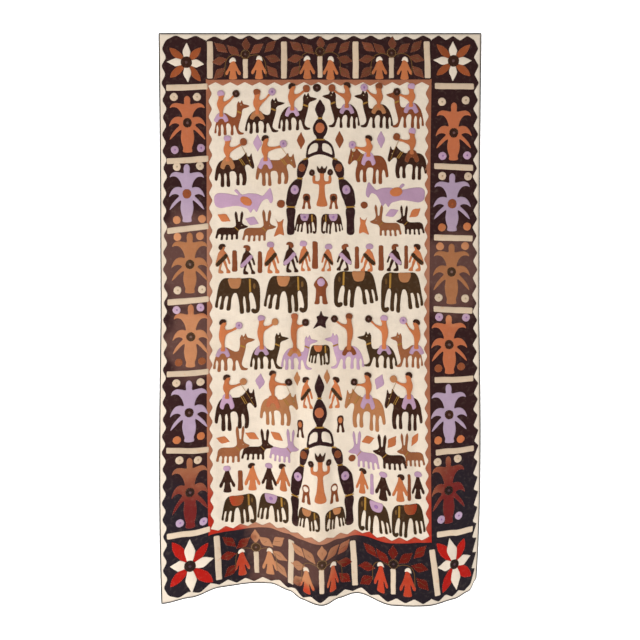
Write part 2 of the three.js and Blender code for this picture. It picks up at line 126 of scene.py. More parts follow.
class Drape:
    """The hung cloth: turns flat places into places in the frame."""

    def __init__(self, pitch):
        self.columns = int(round(2 * CLOTH_HALF_WIDTH / pitch))
        self.rows = int(round(CLOTH_LENGTH / pitch))
        self.across = np.linspace(-CLOTH_HALF_WIDTH, CLOTH_HALF_WIDTH, self.columns + 1)
        self.down = np.linspace(0, CLOTH_LENGTH, self.rows + 1)
        across, down = np.meshgrid(self.across, self.down)
        depth = self.fold_depth(across, down)
        step_down = self.down[1] - self.down[0]
        stretch = np.interp(self.down, *zip(*WIDTHS)) / (2 * CLOTH_HALF_WIDTH)
        step_across = ((self.across[1] - self.across[0]) * stretch)[:, None]
        run = np.sqrt(step_across ** 2 - np.diff(depth, axis=1) ** 2)
        x = np.concatenate([np.zeros((self.rows + 1, 1)), np.cumsum(run, axis=1)], axis=1)
        x -= np.array([np.interp(0, self.across, row) for row in x])[:, None]
        x += DRIFT["reach"] * growth(self.down, DRIFT["start"], DRIFT["power"])[:, None]
        lean = np.diff(depth, axis=0) ** 2 + np.diff(x, axis=0) ** 2
        fall = np.sqrt(step_down ** 2 - lean)
        z = -np.concatenate([np.zeros((1, self.columns + 1)), np.cumsum(fall, axis=0)], axis=0)
        z += eased(HEM, across) * growth(down, HEM_LIFT["start"], HEM_LIFT["power"])
        self.places = np.stack([x, depth - self.relief(across, down), z], axis=-1)
        along = np.gradient(self.places, axis=1)
        below = np.gradient(self.places, axis=0)
        normal = np.cross(below, along)
        self.normals = normal / np.linalg.norm(normal, axis=-1, keepdims=True)
        if self.normals[0, 0, 1] > 0:
            self.normals = -self.normals

    @staticmethod
    def fold_depth(across, down):
        """Return the depth of the main folds, negative toward the viewer."""
        forward = SWING["reach"] * growth(down, SWING["start"], SWING["power"])
        for place, width, depth, start, power in FOLDS:
            swell = np.exp(-((across - place) / width) ** 2)
            forward = forward + depth * growth(down, start, power) * swell
        return -forward

    @staticmethod
    def relief(across, down):
        """Return how far the small creases and the slack of the cloth stand forward."""
        forward = np.zeros_like(across)
        for (across_0, down_0), (across_1, down_1), width, depth in CREASES:
            run = np.array([across_1 - across_0, down_1 - down_0], float)
            length = np.hypot(*run)
            run /= length
            along = (across - across_0) * run[0] + (down - down_0) * run[1]
            aside = (across - across_0) * run[1] - (down - down_0) * run[0]
            share = np.clip(along / length, 0, 1)
            ends = np.sin(np.pi * (0.06 + 0.88 * share))
            past = np.maximum(0, np.abs(along - length / 2) - length / 2)
            forward += depth * ends * np.exp(-(aside / width) ** 2 - (past / width) ** 2)
        slack = (
            0.9 * np.sin(across / 61 + 1.3) * np.sin(down / 143 + 0.4)
            + 0.6 * np.sin(across / 37 + down / 171 + 2.1)
            + 0.5 * np.sin(down / 52 + 0.7) * np.sin(across / 94 + 0.2)
            + 0.25 * np.sin(across / 17 + 3.1) * np.sin(down / 23 + 1.0)
        )
        return (forward + slack) * np.clip(down / STILL_TOP, 0, 1)

    def hang(self, across, down, forward):
        """Return places in metres for flat places that stand forward of the cloth's back."""
        share = (across + CLOTH_HALF_WIDTH) / (2 * CLOTH_HALF_WIDTH)
        column = np.clip(share * self.columns, -1, self.columns + 1)
        row = np.clip(down / CLOTH_LENGTH * self.rows, -1, self.rows + 1)
        left = np.clip(np.floor(column).astype(int), 0, self.columns - 1)
        top = np.clip(np.floor(row).astype(int), 0, self.rows - 1)
        a = (column - left)[:, None]
        b = (row - top)[:, None]

        def read(field):
            above = field[top, left] * (1 - a) + field[top, left + 1] * a
            below = field[top + 1, left] * (1 - a) + field[top + 1, left + 1] * a
            return above * (1 - b) + below * b

        return (read(self.places) + read(self.normals) * np.asarray(forward)[:, None]) / 1000


# Shader maths as plain expressions

class Value:
    """A socket of a shader, which adds, multiplies and mixes like a number."""

    def __init__(self, graph, socket):
        self.graph = graph
        self.socket = socket

    def __add__(self, other):
        return self.graph.math("ADD", self, other)

    def __radd__(self, other):
        return self.graph.math("ADD", other, self)

    def __sub__(self, other):
        return self.graph.math("SUBTRACT", self, other)

    def __rsub__(self, other):
        return self.graph.math("SUBTRACT", other, self)

    def __mul__(self, other):
        return self.graph.math("MULTIPLY", self, other)

    def __rmul__(self, other):
        return self.graph.math("MULTIPLY", other, self)

    def __truediv__(self, other):
        return self.graph.math("DIVIDE", self, other)

    def __rtruediv__(self, other):
        return self.graph.math("DIVIDE", other, self)

    def sine(self):
        return self.graph.math("SINE", self)

    def step(self, low, high):
        """Rise softly from 0 at low to 1 at high."""
        node = self.graph.node(
            "ShaderNodeMapRange",
            {"interpolation_type": "SMOOTHSTEP"},
            {"Value": self, "From Min": low, "From Max": high},
        )
        return Value(self.graph, node.outputs["Result"])


class Graph:
    """One material's nodes."""

    def __init__(self, material):
        material.use_nodes = True
        self.tree = material.node_tree
        self.shader = self.tree.nodes["Principled BSDF"]

    def node(self, kind, settings=None, inputs=None):
        """Add a node of a kind, with its settings and with values or links on its inputs."""
        made = self.tree.nodes.new(kind)
        for name, value in (settings or {}).items():
            setattr(made, name, value)
        for name, value in (inputs or {}).items():
            if isinstance(value, Value):
                self.tree.links.new(value.socket, made.inputs[name])
            else:
                made.inputs[name].default_value = value
        return made

    def math(self, operation, *inputs):
        """Reckon with one or two values."""
        node = self.node("ShaderNodeMath", {"operation": operation}, dict(enumerate(inputs)))
        return Value(self, node.outputs[0])

    def mix(self, share, first, second):
        """Mix two colours."""
        node = self.node("ShaderNodeMix", {"data_type": "RGBA"}, {0: share, 6: first, 7: second})
        return Value(self, node.outputs[2])

    def tint(self, colour, factor):
        """Multiply a colour by a value."""
        grey = self.node("ShaderNodeCombineColor", None, {0: factor, 1: factor, 2: factor})
        node = self.node(
            "ShaderNodeMix",
            {"data_type": "RGBA", "blend_type": "MULTIPLY"},
            {0: 1.0, 6: colour, 7: Value(self, grey.outputs[0])},
        )
        return Value(self, node.outputs[2])

    def flat(self):
        """Return the place across and down the flat cloth, in metres."""
        uv = self.node("ShaderNodeUVMap", {"uv_map": "flat"})
        parts = self.node("ShaderNodeSeparateXYZ", None, {0: Value(self, uv.outputs[0])})
        return Value(self, parts.outputs[0]), Value(self, parts.outputs[1])

    def noise(self, x, y, scale_x, scale_y, detail=2.0, seed=0.0):
        """Return noise of the given scales across and down, about 0.5."""
        vector = self.node("ShaderNodeCombineXYZ", None, {0: x * scale_x, 1: y * scale_y, 2: seed})
        node = self.node(
            "ShaderNodeTexNoise",
            {"noise_dimensions": "3D"},
            {"Vector": Value(self, vector.outputs[0]), "Scale": 1.0, "Detail": detail},
        )
        return Value(self, node.outputs[0])

    def attribute(self, name):
        """Return a number that the mesh carries."""
        node = self.node("ShaderNodeAttribute", {"attribute_name": name})
        return Value(self, node.outputs["Fac"])


def linear(code):
    """Turn a colour code such as 0xC07A52 into linear light."""
    def channel(byte):
        value = byte / 255
        return value / 12.92 if value <= 0.04045 else ((value + 0.055) / 1.055) ** 2.4
    return (channel(code >> 16 & 255), channel(code >> 8 & 255), channel(code & 255), 1.0)


# Cottons: colour as worn over most of the cloth, colour where the dye is fresh, colour where
# it has faded most and, near the hem, of painted highlight on lit fold ridges, and how strongly
# single pieces differ
COTTONS = {
    "cream": (0xEADAC6, 0xEBDCC9, 0xE4D2BC, 0.02),
    "bar": (0xD6BDA2, 0xDFC9B0, 0xD6BFA4, 0.03),
    "ink": (0x301818, 0x231B22, 0x5C3E38, 0.04),
    "black": (0x371D12, 0x2C1C18, 0x46301F, 0.06),
    "olive": (0x402B17, 0x35240F, 0x45301C, 0.06),
    "brown": (0x87482A, 0x7C3C24, 0x965432, 0.08),
    "sienna": (0x975C3A, 0x8E5233, 0xA86E48, 0.06),
    "tan": (0xB4784D, 0xAC6C44, 0xB07A54, 0.06),
    "orange": (0xC27144, 0xBE4026, 0xCC8A60, 0.06),
    "terracotta": (0xB66642, 0xA82014, 0xCA885E, 0.05),
    "zigzag": (0xA96A4D, 0xB62A1A, 0xB27A5F, 0.04),
    "petal": (0x9A4E29, 0xB01810, 0xA4643C, 0.05),
    "leaf": (0x75402C, 0x6E1A0E, 0xB27C5A, 0.08),
    "madder": (0xA86A49, 0x742220, 0xB06C4C, 0.06),
    "lilac": (0xBA96AF, 0xBEA2BC, 0xC4A8B8, 0.05),
    "orchid": (0xB098AE, 0xC0A6BC, 0xBAA2B4, 0.04),
    "gold": (0xA87C36, 0xA07430, 0xB0884C, 0.08),
    "bronze": (0x6E4E28, 0x644626, 0x846240, 0.08),
    "binding": (0x343234, 0x2E2C30, 0x444042, 0.04),
    "faded": (0x644844, 0x523C44, 0x745850, 0.08),
    "purple": (0x96709E, 0x9874A6, 0xA0829C, 0.06),
    "umber": (0x48261A, 0x3E2018, 0x5E3C2A, 0.06),
    "thread": (0xBCA688, 0xBCA688, 0xB8A282, 0.10),
}

PALE = ("cream", "bar", "thread")

# Tone: how much clouds, threads and single pieces differ, and how much painted shade darkens a turned
# rim
TONE = {"clouds": 0.22, "threads": 0.16, "pieces": 2.2, "pale_edge_shade": 0.08, "dyed_edge_shade": 0.16}
# Surface in metres: pitch of the threads, then heights of weave, threads, slack and waves
SURFACE = {"pitch": 0.0011, "weave": 0.00010, "threads": 0.00022, "slack": 0.0016, "waves": 0.0034}
# Marks: brown stains, specks on cream and on the other pale cottons, and worn spots on the dyed ones
MARKS = {"stain": 0xDAC4A8, "speck": 0xD6A67A, "worn": 0xC9B39B}
SHARES = {"stain": 0.34, "speck_cream": 0.10, "speck": 0.42, "worn": 0.06}
# How far in metres fading, its painted highlight and stains wander from their ovals
WANDER = 0.16

# Where the dyes are still fresh, and where they have faded most, the two faded spots near the hem
# also being painted highlight on lit fold ridges: across, down, half sizes
FRESH = (
    (-600, 2290, 250, 420),
    (-395, 2300, 90, 200),
    (330, 2330, 330, 240),
    (590, 2250, 200, 480),
    (20, 2420, 190, 110),
)
FADED_AND_LIT = (
    # Faded dye with painted highlight where fold ridges near the hem catch the light
    (-225, 2230, 190, 170),
    (20, 2190, 200, 110),
    (-560, 950, 130, 210),
    (560, 1000, 130, 190),
    (-540, 1300, 110, 150),
)
# Soft brown marks on the pale cotton: across, down, half sizes
STAINS = (
    (-470, 130, 60, 150),
    (30, 1400, 260, 190),
    (-120, 600, 150, 100),
    (330, 2020, 120, 80),
    (140, 2300, 40, 60),
    (600, 20, 60, 40),
)


def spots(graph, x, y, table):
    """Return a soft mask that is 1 inside any of the spots."""
    total = None
    for across, down, half_across, half_down in table:
        a = (x - across / 1000) / (half_across / 1000)
        b = (y - down / 1000) / (half_down / 1000)
        spot = 1.0 - (a * a + b * b).step(0.45, 1.5)
        total = spot if total is None else graph.math("MAXIMUM", total, spot)
    return total


def cotton(name):
    """Return the material of one dyed cotton, made once."""
    known = bpy.data.materials.get("cotton_" + name)
    if known:
        return known
    _, fresh, faded, differ = COTTONS[name]
    worn = tuple(getattr(bpy.context.scene.kanduri_cottons, name))
    material = bpy.data.materials.new("cotton_" + name)
    graph = Graph(material)
    x, y = graph.flat()
    moved_x = x + (graph.noise(x, y, 9, 9, 3, 4.0) - 0.5) * WANDER
    moved_y = y + (graph.noise(x, y, 8, 8, 3, 9.0) - 0.5) * WANDER
    # Faded colour, near the hem also painted highlight on lit fold ridges
    colour = graph.mix(spots(graph, moved_x, moved_y, FADED_AND_LIT), worn, linear(faded))
    colour = graph.mix(spots(graph, moved_x, moved_y, FRESH), colour, linear(fresh))

    cloudy = graph.noise(x, y, 22, 22, 4, 2.0)
    warp = graph.noise(x, y, 700, 26, 2, 5.0)
    weft = graph.noise(x, y, 30, 700, 2, 7.0)
    # The rim attribute weights painted shade along turned edges, and lowers their roughness a little
    rim = graph.attribute("rim")
    level = 1.0 + (cloudy - 0.5) * TONE["clouds"]
    level = level + (warp - 0.5) * TONE["threads"] + (weft - 0.5) * TONE["threads"]
    level = level + graph.attribute("tone") * (differ * TONE["pieces"])
    if name in PALE:
        stain = spots(graph, moved_x, moved_y, STAINS) * (0.35 + cloudy * 0.5)
        colour = graph.mix(stain * SHARES["stain"], colour, linear(MARKS["stain"]))
        # Painted shade darkens the turned rim
        level = level - rim * TONE["pale_edge_shade"]
        specks = graph.noise(x, y, 38, 38, 3, 21.0).step(0.60, 0.72)
        share = SHARES["speck_cream"] if name == "cream" else SHARES["speck"]
        colour = graph.mix(specks * share, colour, linear(MARKS["speck"]))
    else:
        worn_spots = (graph.noise(x, y, 60, 60, 4, 12.0) - 0.5).step(0.0, 0.3)
        colour = graph.mix(worn_spots * SHARES["worn"], colour, linear(MARKS["worn"]))
        # Painted shade darkens the turned rim
        level = level - rim * TONE["dyed_edge_shade"]
    colour = graph.tint(colour, level)
    graph.tree.links.new(colour.socket, graph.shader.inputs["Base Color"])

    turns = 2 * math.pi / SURFACE["pitch"]
    weave = (x * turns).sine() * (y * turns).sine()
    height = weave * SURFACE["weave"]
    height = height + (warp - 0.5) * SURFACE["threads"] + (weft - 0.5) * SURFACE["threads"]
    height = height + (graph.noise(x, y, 60, 60, 4, 1.0) - 0.5) * SURFACE["slack"]
    height = height + (graph.noise(x, y, 16, 24, 3, 3.0) - 0.5) * SURFACE["waves"]
    bump = graph.node("ShaderNodeBump", None, {"Strength": 0.75, "Distance": 1.0, "Height": height})
    graph.tree.links.new(bump.outputs[0], graph.shader.inputs["Normal"])
    roughness = 0.86 + (cloudy - 0.5) * 0.12 - rim * 0.04
    graph.tree.links.new(roughness.socket, graph.shader.inputs["Roughness"])
    graph.shader.inputs["Specular IOR Level"].default_value = 0.08
    graph.shader.inputs["Sheen Weight"].default_value = 0.03
    graph.shader.inputs["Sheen Roughness"].default_value = 0.6
    material.diffuse_color = worn
    return material


# Cutting and sewing

RANDOM = np.random.default_rng(1881)

# Longest step along a cut edge or a band, and the distance that counts as none
EDGE_PITCH = 6.0
TINY = 1e-9
# Section of a band: aside in shares of its half width, forward in shares of its thickness
BAND_SECTION = ((-1, 0), (-1, 0.5), (-0.5, 1), (0.5, 1), (1, 0.5), (1, 0))
# Painted shade on a band's and on the binding's whole surface, as a share of a turned rim's painted
# shade
BAND_EDGE_SHADE = 0.3
BINDING_EDGE_SHADE = 0.4
# Seams shorter than this have no stitches that show, and the others lie this far inside the edge
SHORTEST_SEAM = 30
STITCH_INSET = 1.6


def quarter(run):
    """Turn directions a quarter round."""
    return np.column_stack([-run[:, 1], run[:, 0]])


def rounded(points, reach, rounds=2):
    """Round a closed outline's corners within a reach, as turned cotton does."""
    points = np.array(points, float)
    for _ in range(rounds):
        after = np.roll(points, -1, axis=0)
        run = after - points
        share = np.minimum(0.24, reach / np.maximum(np.hypot(*run.T), 1e-9))[:, None]
        points = np.stack([points + run * share, after - run * share], axis=1).reshape(-1, 2)
        reach *= 0.35
    return points


def curved(points, pitch=4.5):
    """Return a smooth closed outline through the given places."""
    points = np.array(points, float)
    count = len(points)
    result = []
    for index in range(count):
        p0, p1, p2, p3 = (points[(index + step) % count] for step in (-1, 0, 1, 2))
        t1 = max(np.hypot(*(p1 - p0)), 1e-3) ** 0.5
        t2 = t1 + max(np.hypot(*(p2 - p1)), 1e-3) ** 0.5
        t3 = t2 + max(np.hypot(*(p3 - p2)), 1e-3) ** 0.5
        steps = max(1, int(math.ceil(np.hypot(*(p2 - p1)) / pitch)))
        for step in range(steps):
            t = t1 + (t2 - t1) * step / steps
            a1 = p0 + (p1 - p0) * t / t1
            a2 = p1 + (p2 - p1) * (t - t1) / (t2 - t1)
            a3 = p2 + (p3 - p2) * (t - t2) / (t3 - t2)
            b1 = a1 + (a2 - a1) * t / t2
            b2 = a2 + (a3 - a2) * (t - t1) / (t3 - t1)
            result.append(b1 + (b2 - b1) * (t - t1) / (t2 - t1))
    return np.array(result)


def even(points, pitch):
    """Share out points along a closed outline, and drop those that crowd."""
    points = np.array(points, float)
    kept = [points[0]]
    for point in points[1:]:
        if np.hypot(*(point - kept[-1])) > pitch * 0.3:
            kept.append(point)
    if np.hypot(*(kept[0] - kept[-1])) < pitch * 0.3:
        kept.pop()
    result = []
    for start, end in zip(kept, kept[1:] + kept[:1]):
        count = max(1, int(math.ceil(np.hypot(*(end - start)) / pitch)))
        result += [start + (end - start) * step / count for step in range(count)]
    return np.array(result)


def wobble(points, size):
    """Move an outline as an uneven hand does, the same for each run."""
    phase = RANDOM.uniform(0, 2 * math.pi, 4)
    turn = np.linspace(0, 2 * math.pi, len(points), endpoint=False)
    moved = points.copy()
    moved[:, 0] += size * (np.sin(3 * turn + phase[0]) + 0.6 * np.sin(8 * turn + phase[1]))
    moved[:, 1] += size * (np.sin(2 * turn + phase[2]) + 0.6 * np.sin(7 * turn + phase[3]))
    return moved


def nearest(points, outline):
    """Return each point's distance to a closed outline."""
    start = outline
    run = np.roll(outline, -1, axis=0) - outline
    length = np.maximum((run ** 2).sum(axis=1), 1e-9)
    share = ((points[:, None] - start) * run).sum(axis=2) / length
    foot = start + np.clip(share, 0, 1)[..., None] * run
    return np.sqrt(((points[:, None] - foot) ** 2).sum(axis=2)).min(axis=1)


def inside(points, outline):
    """Return which points lie inside a closed outline."""
    hit = np.zeros(len(points), bool)
    after = np.roll(outline, -1, axis=0)
    for (x0, y0), (x1, y1) in zip(outline, after):
        crosses = (y0 > points[:, 1]) != (y1 > points[:, 1])
        if y0 != y1:
            hit ^= crosses & (points[:, 0] < (x1 - x0) * (points[:, 1] - y0) / (y1 - y0) + x0)
    return hit


def filled(ring, turn, pitch):
    """Fill a closed outline with triangles, with a second ring where its turned edge ends.

    Returns the places, the triangles and which places lie on the outline.
    """
    side = np.roll(ring, -1, axis=0) - np.roll(ring, 1, axis=0)
    side /= np.maximum(np.linalg.norm(side, axis=1, keepdims=True), TINY)
    turned = ring + quarter(side) * turn
    turned = turned[nearest(turned, ring) > turn * 0.8]
    low, high = ring.min(axis=0), ring.max(axis=0)
    grid = np.stack(np.meshgrid(
        np.arange(low[0] + pitch / 2, high[0], pitch),
        np.arange(low[1] + pitch / 2, high[1], pitch),
    ), axis=-1).reshape(-1, 2)
    grid = grid[inside(grid, ring)]
    grid = grid[nearest(grid, ring) > turn + pitch * 0.35]
    flat = [Vector(point) for point in np.concatenate([ring, turned, grid])]
    found = delaunay_2d_cdt(flat, [], [list(range(len(ring)))], 1, 1e-4)
    places = np.array([tuple(place) for place in found[0]])
    on_ring = np.array([bool(origin) and min(origin) < len(ring) for origin in found[3]])
    triangles = []
    for a, b, c in found[2]:
        (x1, y1), (x2, y2) = places[b] - places[a], places[c] - places[a]
        triangles.append((a, c, b) if x1 * y2 - y1 * x2 < 0 else (a, b, c))
    return places, triangles, on_ring


class Sewing:
    """Collects cut pieces of one kind and turns them into one Blender object."""

    def __init__(self, tools):
        self.tools = tools
        self.points = []
        self.faces = []
        self.cottons = []
        self.face_cottons = []
        self.count = 0

    def add(self, points, faces, name, tone):
        """Add faces on points of (across, down, forward, rim), rim being painted edge shade."""
        if name not in self.cottons:
            self.cottons.append(name)
        self.points.append(np.column_stack([points, np.full(len(points), tone)]))
        self.faces += [tuple(self.count + corner for corner in face) for face in faces]
        self.face_cottons += [self.cottons.index(name)] * len(faces)
        self.count += len(points)

    def cut(self, outline, level, name, hand=0.9, pitch=None, corner=None, sewn=True):
        """Lay a piece cut from a cotton on a level, with turned edges.

        The outline runs as a curve through its places, or straight with corners of a given reach.
        """
        tools = self.tools
        pitch = pitch or tools.pitch
        back = tools.level(level)
        ring = even(rounded(outline, corner) if corner else curved(outline), min(pitch, EDGE_PITCH))
        if hand:
            ring = wobble(ring, hand * 0.5)
        after = np.roll(ring, -1, axis=0)
        if np.sum(ring[:, 0] * after[:, 1] - after[:, 0] * ring[:, 1]) < 0:
            ring = ring[::-1]
        places, triangles, on_ring = filled(ring, tools.turn, pitch)
        rise = np.where(on_ring, tools.thick * 0.3, tools.thick)
        # Places on the outline carry the full painted edge shade
        rim = on_ring.astype(float)
        front = np.column_stack([places, back + rise, rim])
        rear = np.column_stack([places, np.full(len(places), back), rim])
        count = len(places)
        faces = []
        edges = {}
        for a, b, c in triangles:
            faces += [(a, b, c), (count + a, count + c, count + b)]
            for edge in ((a, b), (b, c), (c, a)):
                if edges.pop(edge[::-1], None) is None:
                    edges[edge] = True
        faces += [(start, count + start, count + end, end) for start, end in edges]
        self.add(np.concatenate([front, rear]), faces, name, RANDOM.uniform(-1, 1))
        if sewn:
            tools.seam(ring, back + tools.thick)

    def dot(self, across, down, half_across, half_down, level, name, points=10):
        """Lay a small oval with no stitches that show, such as an eye or a disc's core."""
        oval = blob(across, down, half_across, half_down, points=points)
        self.cut(oval, level, name, sewn=False)

    def band(self, route, width, level, name, thick=None):
        """Lay a narrow strip or a row of embroidery along a route."""
        tools = self.tools
        route = np.array(route, float)
        dense = [route[0]]
        for start, end in zip(route, route[1:]):
            steps = max(1, int(math.ceil(np.hypot(*(end - start)) / EDGE_PITCH)))
            dense += [start + (end - start) * (step + 1) / steps for step in range(steps)]
        route = np.array(dense)
        run = np.gradient(route, axis=0)
        run /= np.maximum(np.linalg.norm(run, axis=1, keepdims=True), TINY)
        aside = quarter(run) * width / 2
        back = tools.level(level)
        thick = thick or tools.thick * 0.7
        length, sides = len(route), len(BAND_SECTION)
        # Every place of a band carries part of the painted edge shade
        points = np.concatenate([
            np.column_stack([
                route + aside * out, np.full(length, back + thick * up), np.full(length, BAND_EDGE_SHADE),
            ])
            for out, up in BAND_SECTION
        ])
        faces = []
        for side in range(sides):
            here, there = side * length, (side + 1) % sides * length
            faces += [
                (here + step, here + step + 1, there + step + 1, there + step)
                for step in range(length - 1)
            ]
        faces.append(tuple(side * length for side in range(sides)))
        faces.append(tuple(side * length + length - 1 for side in reversed(range(sides))))
        self.add(points, faces, name, RANDOM.uniform(-1, 1))

    def finish(self, name, slot, replaces=()):
        """Hang what was sewn, and hand it to the frame."""
        table = np.concatenate(self.points)
        self.tools.make(name, table, self.faces, self.cottons, self.face_cottons, slot, replaces)


class Tools:
    """The drape, the layers and what they share."""

    def __init__(self, settings):
        self.drape = Drape(settings.ground_pitch)
        self.pitch = settings.patch_pitch
        self.ground = settings.ground_thickness
        self.thick = settings.patch_thickness
        self.gap = settings.layer_gap
        self.turn = settings.turned_edge
        self.stitch_gap = settings.stitch_gap
        self.seams = []
        self.pieces = []

    def level(self, level):
        """Return how far a level's back stands forward of the cloth's back."""
        return self.ground + self.gap + level * (self.thick + self.gap)

    def seam(self, ring, forward, closed=True):
        """Remember where the turned edge of a piece is sewn down."""
        ring = np.array(ring, float)
        run = np.roll(ring, -1, axis=0) - ring
        if not closed:
            run[-1] = 0
        length = np.linalg.norm(run, axis=1)
        total = length.sum()
        if total < SHORTEST_SEAM:
            return
        places = np.arange(RANDOM.uniform(0, self.stitch_gap), total, self.stitch_gap)
        ends = np.cumsum(length)
        index = np.clip(np.searchsorted(ends, places), 0, len(ring) - 1)
        share = (places - (ends[index] - length[index])) / np.maximum(length[index], TINY)
        place = ring[index] + run[index] * share[:, None]
        heading = run[index] / np.maximum(length[index], TINY)[:, None]
        place = place + quarter(heading) * STITCH_INSET
        self.seams.append(np.column_stack([place, heading, np.full(len(place), forward)]))

    def make(self, name, table, faces, cottons, face_cottons, slot, replaces=()):
        """Hang points of (across, down, forward, painted rim shade, tone); give the mesh to the frame.
        """
        places = self.drape.hang(table[:, 0], table[:, 1], table[:, 2])
        mesh = bpy.data.meshes.new(name)
        mesh.from_pydata(places.tolist(), [], faces)
        for cotton_name in cottons:
            mesh.materials.append(cotton(cotton_name))
        mesh.polygons.foreach_set("material_index", np.array(face_cottons, np.int32))
        mesh.polygons.foreach_set("use_smooth", np.ones(len(mesh.polygons), bool))
        corners = np.empty(len(mesh.loops), np.int32)
        mesh.loops.foreach_get("vertex_index", corners)
        layer = mesh.uv_layers.new(name="flat")
        layer.data.foreach_set("uv", (table[corners, :2] / 1000).astype(np.float32).ravel())
        for attribute, column in (("rim", 3), ("tone", 4)):
            made = mesh.attributes.new(attribute, "FLOAT", "POINT")
            made.data.foreach_set("value", table[:, column].astype(np.float32))
        mesh.update()
        piece = bpy.data.objects.new(name, mesh)
        bpy.context.scene.collection.objects.link(piece)
        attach(piece, "root")
        if replaces:
            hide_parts(*replaces)
        self.pieces.append(piece)
        return piece


TOOLS = {}


def tools():
    """Return the tools, made once from the sidebar's settings."""
    if "cloth" not in TOOLS:
        TOOLS["cloth"] = Tools(bpy.context.scene.kanduri)
    return TOOLS["cloth"]


# Animals: outlines in hundredths from rump to nose and from back to feet

CAMEL = (
    (-2, 97), (0, 60), (5, 26), (12, 4), (22, -12), (32, -14), (44, 0), (54, 8), (61, 4), (64, -14),
    (65, -40), (65, -62), (70, -80), (74, -70), (79, -86), (84, -66), (92, -62), (102, -55), (94, -45),
    (84, -38), (80, -28), (79, -8), (75, 24), (71, 52), (70, 76), (77, 91), (85, 95), (83, 103),
    (69, 103), (64, 84), (60, 60), (57, 52), (54, 60), (53, 106), (46, 106), (47, 66), (43, 46),
    (36, 42), (33, 52), (33, 106), (26, 106), (25, 64), (21, 48), (18, 56), (16, 111), (9, 111),
    (10, 68), (7, 52), (4, 66), (3, 97),
)
HORSE = (
    (0, 82), (1, 50), (5, 24), (13, 6), (22, 0), (58, -1), (67, -9), (74, -19), (80, -30), (83, -16),
    (88, -14), (93, -27), (96, -6), (99, 14), (100, 31), (96, 36), (91, 28), (84, 19), (78, 22),
    (77, 32), (80, 52), (81, 78), (77, 102), (70, 102), (71, 78), (68, 57), (65, 54), (63, 62),
    (62, 102), (55, 102), (55, 66), (51, 49), (44, 46), (38, 50), (37, 62), (38, 109), (31, 109),
    (30, 66), (27, 54), (24, 58), (23, 109), (16, 109), (15, 68), (12, 54), (9, 60), (7, 74), (5, 84),
)
ELEPHANT = (
    (0, 88), (3, 60), (7, 32), (12, 12), (20, 1), (34, 0), (60, 1), (82, 0), (92, 6), (98, 20),
    (100, 42), (100, 72), (99, 96), (95, 105), (88, 108), (82, 104), (80, 96), (84, 92), (90, 94),
    (91, 86), (89, 68), (86, 53), (82, 44), (78, 44), (76, 54), (78, 80), (77, 103), (70, 104),
    (69, 82), (66, 57), (64, 55), (62, 70), (63, 107), (56, 108), (54, 84), (51, 58), (47, 46),
    (42, 47), (37, 62), (33, 98), (26, 98), (28, 72), (29, 56), (25, 55), (20, 70), (17, 95), (10, 95),
    (13, 70), (14, 55), (11, 56), (7, 72), (5, 90),
)
DEER = (
    (-2, 88), (1, 50), (5, 16), (14, 2), (40, 0), (55, -3), (63, -16), (63, -50), (60, -114),
    (64, -136), (69, -116), (73, -52), (76, -50), (79, -116), (84, -136), (88, -114), (84, -44),
    (88, -27), (103, -7), (92, 8), (78, 16), (72, 36), (70, 96), (64, 96), (63, 62), (59, 56),
    (56, 62), (54, 98), (48, 98), (47, 60), (43, 56), (39, 60), (37, 100), (31, 100), (32, 62),
    (28, 56), (24, 62), (21, 102), (15, 102), (16, 62), (12, 54), (7, 64), (4, 90),
)
BIRD = (
    (0, 40), (1, 18), (6, 2), (20, 2), (36, 12), (42, 12), (35, -18), (39, -26), (48, 8), (60, 0),
    (74, 4), (84, 16), (90, -6), (97, -34), (100, -8), (102, 50), (98, 68), (92, 38), (84, 50),
    (78, 88), (73, 124), (68, 104), (63, 128), (58, 102), (50, 92), (40, 84), (24, 90), (10, 98),
    (2, 82),
)

# Figures: outlines as millimetres aside and hundredths of the figure's height
FIGURE = (
    (-6, 5), (0, 1), (6, 5), (10, 20), (16, 36), (24, 54), (33, 74), (29, 82), (22, 78), (15, 63),
    (12, 61), (14, 80), (16, 100), (-16, 100), (-14, 80), (-12, 61), (-15, 63), (-22, 78), (-29, 82),
    (-33, 74), (-24, 54), (-16, 36), (-10, 20),
)
WALKER = (
    (-6, 11), (-4, 2), (6, 0), (13, 6), (12, 14), (9, 20), (16, 28), (25, 40), (33, 58), (35, 68),
    (29, 69), (22, 54), (16, 46), (14, 52), (20, 67), (25, 84), (35, 94), (35, 100), (18, 100),
    (18, 92), (10, 74), (3, 62), (-1, 74), (-5, 88), (5, 94), (6, 100), (-14, 100), (-15, 88),
    (-11, 70), (-14, 64), (-20, 78), (-26, 78), (-28, 68), (-22, 48), (-15, 30), (-7, 22),
)
LOOPED = (
    (0, 0), (13, 6), (17, 26), (15, 44), (17, 70), (20, 100), (8, 100), (5, 68), (0, 56), (-5, 68),
    (-8, 100), (-19, 100), (-16, 70), (-14, 44), (-17, 26), (-12, 6),
)
CROWNED = (
    (-9, 13), (9, 13), (9, 30), (13, 37), (27, 37), (29, 24), (37, 24), (37, 43), (14, 47), (12, 60),
    (16, 78), (22, 99), (-22, 99), (-16, 78), (-12, 60), (-14, 47), (-37, 43), (-37, 24), (-29, 24),
    (-27, 37), (-13, 37), (-9, 30),
)
CROWN = ((-21, 0), (-9, 7), (0, 0), (9, 7), (21, 0), (14, 17), (-14, 17))
